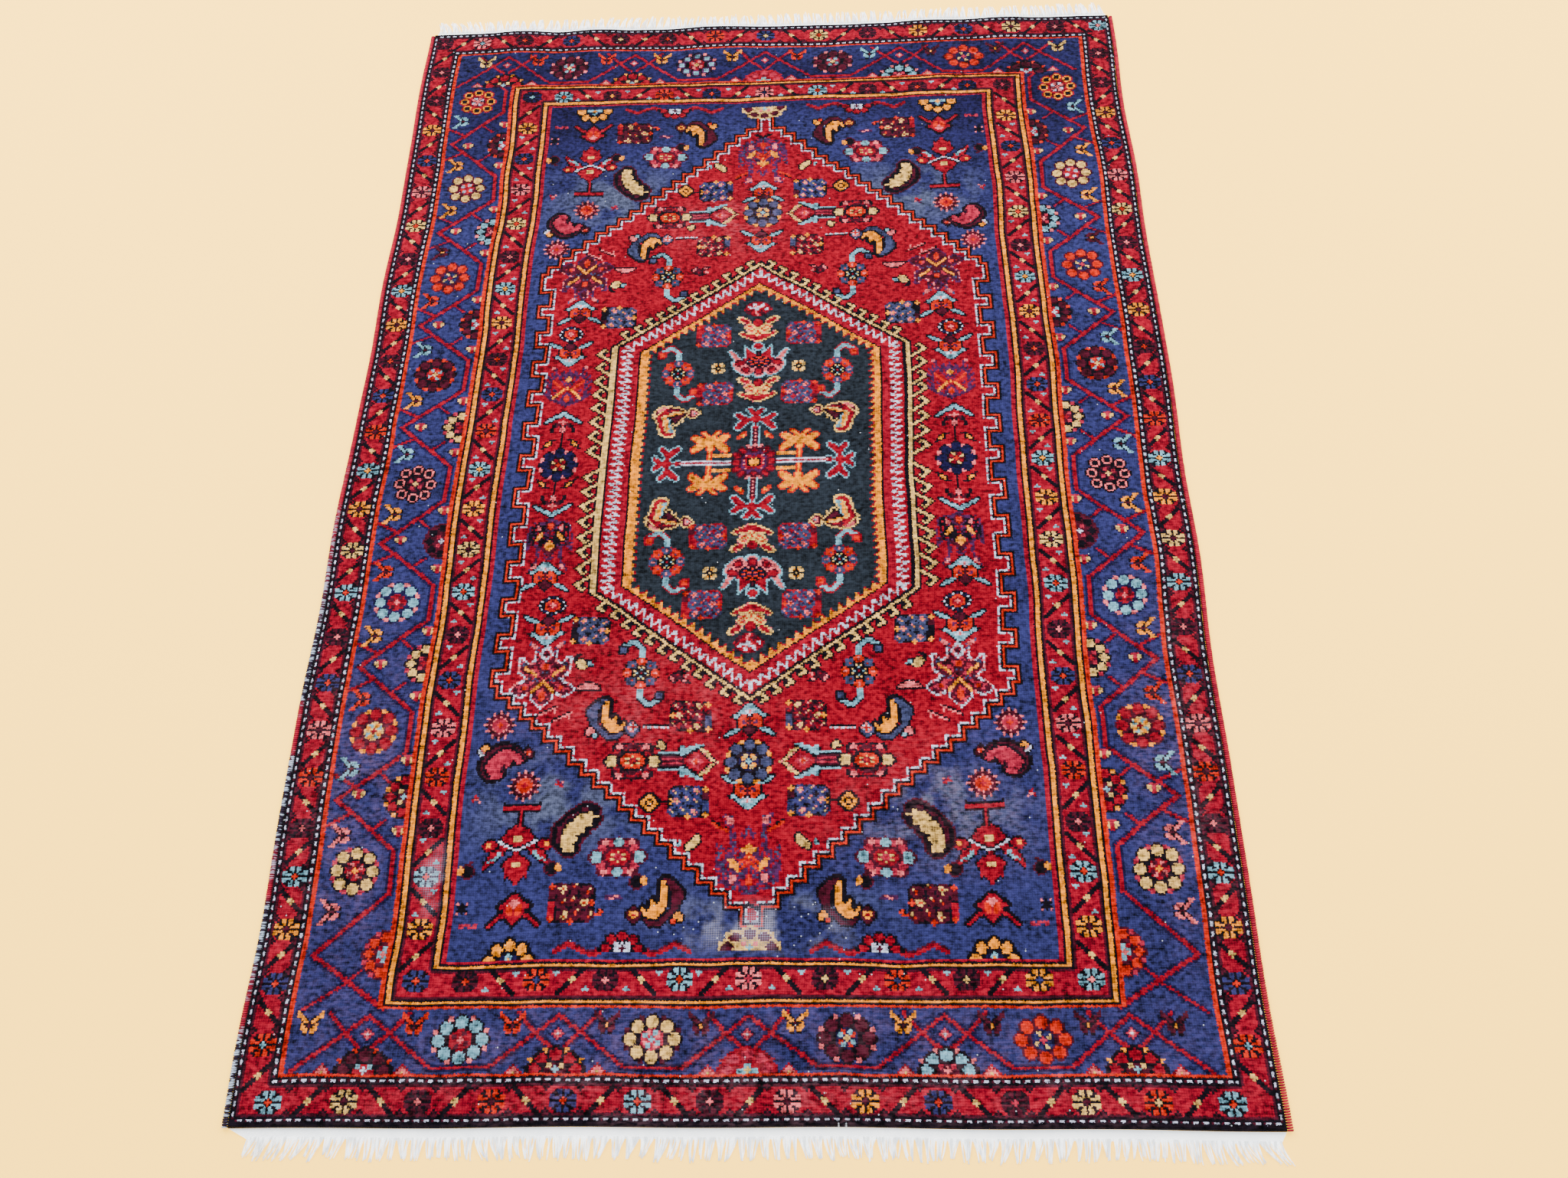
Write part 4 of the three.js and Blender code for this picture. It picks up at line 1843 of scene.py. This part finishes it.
knot_at = wool.node("ShaderNodeCombineXYZ", {}, {0: block_x + place_x, 1: block_y + place_y})
own = wool.node("ShaderNodeTexWhiteNoise", {"noise_dimensions": "2D"}, {"Vector": knot_at})
chance = wool.node("ShaderNodeTexWhiteNoise", {"noise_dimensions": "3D"}, {
    "Vector": wool.node("ShaderNodeVectorMath", {"operation": "ADD"}, {0: knot_at, 1: (0, 0, 7)})})
bath = wool.noise(5.0, 2.0, stretch=(0.5, 1.6, 1.0)).between(0.3, 0.7)
cloud = wool.noise(26.0, 3.0).between(0.3, 0.7)
streak = wool.noise(230.0, 2.0, stretch=(0.4, 1.0, 1.0)).between(0.34, 0.66)
tufted = wool.noise(130.0, 2.0).between(0.34, 0.66)
fluff = wool.noise(640.0, 2.0)
off_x = across.maths("FRACT") - 0.5
off_y = along_rug.maths("FRACT") - 0.5
off_middle = (off_x * off_x + off_y * off_y) ** 0.5
tuft = off_middle.between(0.15, 0.62, 1.0, 0.0)
sun, dark, grey, worn_here = [wool.node("ShaderNodeAttribute", {"attribute_name": name}).output("Fac")
                              for name in ("sun", "dark", "grey", "wear")]

# %% [markdown]
# The blue wool came from several baths: navy at the far corners, and greyer beside the slants.
# Only blue knots may change so, which the shader tells by their digit. The navy at the far
# corners is partly painted shade too, and there all the wool is painted a little darker.

# %% The tones of the wool, and painted light and shade
blue_knot = (digit - number["blue"]).maths("ABSOLUTE") < 0.5
# the far corners: blue knots turn navy, partly another bath and partly painted shade
dye = wool.mix(blue_knot * dark * 0.95, dye, yarns["navy"])
dye = wool.mix(blue_knot * grey * cloud.between(0.1, 0.8) * 0.6, dye, (0.048, 0.056, 0.080))
# painted shade and highlight: own and bath are the real tones of single knots and dye baths, but the
# other terms follow the pile's relief, so raised parts and tuft tips are painted lighter, and hollows and
# the dark far corners darker
tone_and_shade = (0.30 * own + 0.16 * bath + 0.30 * cloud + 0.24 * fluff + 0.70 * tufted + 0.50 * streak
        + 0.30 * tuft - 0.34 - 0.10 * dark)
wool_colour = wool.mix(1.0, dye, tone_and_shade, "MULTIPLY")
# a faint pink painted sheen, laid on the pile in patches
wool_colour = wool.mix(sun * cloud * streak * 0.05, wool_colour, (0.72, 0.32, 0.38))
bare_knot = (chance < worn_here * 0.04 + 0.0010) * off_middle.between(0.16, 0.4, 0.6, 0.0)
between_knots = off_middle.between(0.3, 0.6, 0.15, 0.75) * cloud.between(0.2, 0.9)
wool_colour = wool.mix(worn_here * between_knots, wool_colour, (0.22, 0.20, 0.27))
wool_colour = wool.mix(bare_knot, wool_colour, (0.50, 0.54, 0.60))
relief = tuft * 0.35 + fluff * 0.5 + tufted * 0.6 + streak * 0.3 + cloud * 0.5
pile_wool = wool.finish(wool_colour, relief, 0.55, 1.6 * mm, Roughness=0.95, Specular_IOR_Level=0.03,
                        Sheen_Weight=0.01, Sheen_Roughness=0.5)

# %% [markdown]
# The binding is the same wool, wound over the edge: bright red along most of both sides, and
# rubbed down to dark and pale threads where the near part of the left side gets the most feet.

# %% The wool of the bound sides
binding = Finish("binding_wool")
at = binding.node("ShaderNodeSeparateXYZ", {}, {0: binding.object})
fibre = binding.noise(900.0, 2.0, stretch=(1.0, 2.4, 1.0))
thread = binding.noise(210.0, 1.0, stretch=(0.3, 1.0, 0.3))
patch = binding.noise(9.0, 2.0, stretch=(0.2, 1.0, 0.2))
red_wool = binding.mix(thread.between(0.35, 0.7), (0.30, 0.004, 0.020), (0.16, 0.002, 0.014))
rubbed = (at < 0.0) * at.output("Y").between(-0.35, 0.05, 1.0, 0.0)
pale = binding.noise(330.0, 1.0, stretch=(0.2, 1.0, 0.2)).between(0.5, 0.56)
speckled = binding.mix(pale, (0.012, 0.006, 0.016), (0.30, 0.36, 0.46))
colour = binding.mix(rubbed * patch.between(0.35, 0.5), red_wool, speckled)
colour = binding.mix(1.0, colour, 0.7 + 0.6 * fibre, "MULTIPLY")
binding_wool = binding.finish(colour, fibre, 0.4, 0.5 * mm, Roughness=0.9, Specular_IOR_Level=0.1,
                              Sheen_Weight=0.05)

# %% [markdown]
# The cotton of the ends was never dyed. It has greyed a little, and it is fuzzy, so its relief is
# finer than the wool's. The woven strip adds its weft: fine ribs that pass over and under. The
# loose strands shade one another, which lengthwise lanes of grey bring out. A faint glow keeps
# the cotton as white as it looks in a bright room.

# %% The cotton
def cotton(name, woven):
    finish = Finish(name)
    fuzz = finish.noise(1500.0, 2.0)
    grey = finish.noise(60.0, 2.0)
    stain = finish.noise(11.0, 2.0).between(0.62, 0.74)
    colour = finish.mix(grey.between(0.35, 0.75), (0.97, 0.97, 0.97), (0.84, 0.85, 0.88))
    colour = finish.mix(stain * 0.3, colour, (0.60, 0.46, 0.30))
    colour = finish.mix(1.0, colour, 0.84 + 0.3 * fuzz, "MULTIPLY")
    relief = fuzz * 0.5
    if woven:
        at = finish.node("ShaderNodeSeparateXYZ", {}, {0: finish.object})
        over = (at * (2 * np.pi / (knot_x * 2 * mm))).maths("SINE") > 0
        weft = (at.output("Y") * (2 * np.pi / (1.3 * mm)) + over * np.pi).maths("SINE")
        relief = relief + weft * 0.6
        # the hollows between the weft's ribs are painted a little darker: painted shade
        colour = finish.mix(1.0, colour, 0.94 + 0.06 * weft, "MULTIPLY")
    else:
        lane = finish.noise(300.0, 1.0, stretch=(1.0, 0.15, 1.0)).between(0.36, 0.6)
        colour = finish.mix(1.0, colour, 0.55 + 0.45 * lane, "MULTIPLY")
    return finish.finish(colour, relief, 0.5, 0.5 * mm, Roughness=0.9, Specular_IOR_Level=0.15,
                         Emission_Color=(0.85, 0.95, 1.0, 1.0), Emission_Strength=0.8)


woven_cotton = cotton("woven_cotton", True)
loose_cotton = cotton("loose_cotton", False)
for piece, material in ((pile, pile_wool), (left_binding, binding_wool), (right_binding, binding_wool),
                        (front_strip, woven_cotton), (back_strip, woven_cotton),
                        (front_fringe, loose_cotton), (back_fringe, loose_cotton)):
    piece.data.materials.append(material)
print("materials:", [material.name for material in bpy.data.materials])

# %% [markdown]
# ## Floor, light and camera
# The rug lies on a plain pale floor, in the light of a bright room: much of it comes from all
# round, and two large soft lamps give the ripples and the fringe a little shade. The camera
# stands a step in front of the rug and looks down on it, which makes its far end look narrower.

# %% The floor
floor = start_piece("floor", bpy.ops.mesh.primitive_plane_add, size=14)
boards = Finish("pale_floor")
boards.shader.inputs["Base Color"].default_value = (0.78, 0.45, 0.05, 1)
boards.shader.inputs["Roughness"].default_value = 0.6
boards.shader.inputs["Specular IOR Level"].default_value = 0.2
boards.shader.inputs["Emission Color"].default_value = (1.0, 0.57, 0.03, 1)
boards.shader.inputs["Emission Strength"].default_value = 2.2
floor.data.materials.append(boards.material)
floor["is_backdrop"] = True

# %% The light
sky = bpy.data.worlds.new("soft_room")
sky.use_nodes = True
sky.node_tree.nodes["Background"].inputs["Color"].default_value = (0.97, 0.98, 1.0, 1)
sky.node_tree.nodes["Background"].inputs["Strength"].default_value = 2.0
bpy.context.scene.world = sky


def soft_lamp(name, place, size, power):
    """A large square lamp that points at the middle of the rug."""
    bpy.ops.object.light_add(type="AREA", location=place)
    lamp = bpy.context.object
    lamp.name = name
    lamp.data.size = size
    lamp.data.energy = power
    lamp.rotation_euler = (-Vector(place)).to_track_quat("-Z", "Y").to_euler()
    return lamp


soft_lamp("lamp_by_the_far_left", (-2.2, 2.4, 3.2), 2.6, 400)
soft_lamp("lamp_by_the_far_right", (2.6, 1.8, 3.0), 2.6, 300)

# %% The camera
bpy.ops.object.camera_add()
camera = bpy.context.object
camera.name = "camera"
camera.data.sensor_width = 36
camera.data.lens = 30.99
camera.data.clip_end = 50
# the camera's own axes and its place, solved from the corners of the pile in the photo
right = Vector((0.9990991, 0.0074631, -0.0417768))
down = Vector((-0.0133835, -0.8787720, -0.4770542))
ahead = Vector((-0.0402726, 0.4771835, -0.8778804))
stand = (np.array([121.5, -1204.2, 1776.0]) + shift) * mm
turned = Matrix((right, -down, -ahead)).transposed().to_4x4()
camera.matrix_world = Matrix.Translation(stand) @ turned
bpy.context.scene.camera = camera

# %% [markdown]
# ## Joining the pieces
# Each piece rides on the rug's one body and stands in for its plain solid.

# %% Bodies, and the plain solids hidden
for piece, node, slot in ((pile, "pile", "pile_wool"), (left_binding, "selvedge_left", "selvedge_wool"),
                          (right_binding, "selvedge_right", "selvedge_wool"),
                          (front_strip, "fringe_front", "warp_cotton"),
                          (back_strip, "fringe_back", "warp_cotton"),
                          (front_fringe, "fringe_front", "warp_cotton"),
                          (back_fringe, "fringe_back", "warp_cotton")):
    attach(piece, "root")
    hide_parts(node)

# %% The size, and the last line
low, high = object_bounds()
{"cad": [list(cad_low), list(cad_high)], "visual": [list(low), list(high)]}
print("visual box", [round((top - bottom) / mm) for bottom, top in zip(low, high)], "mm")
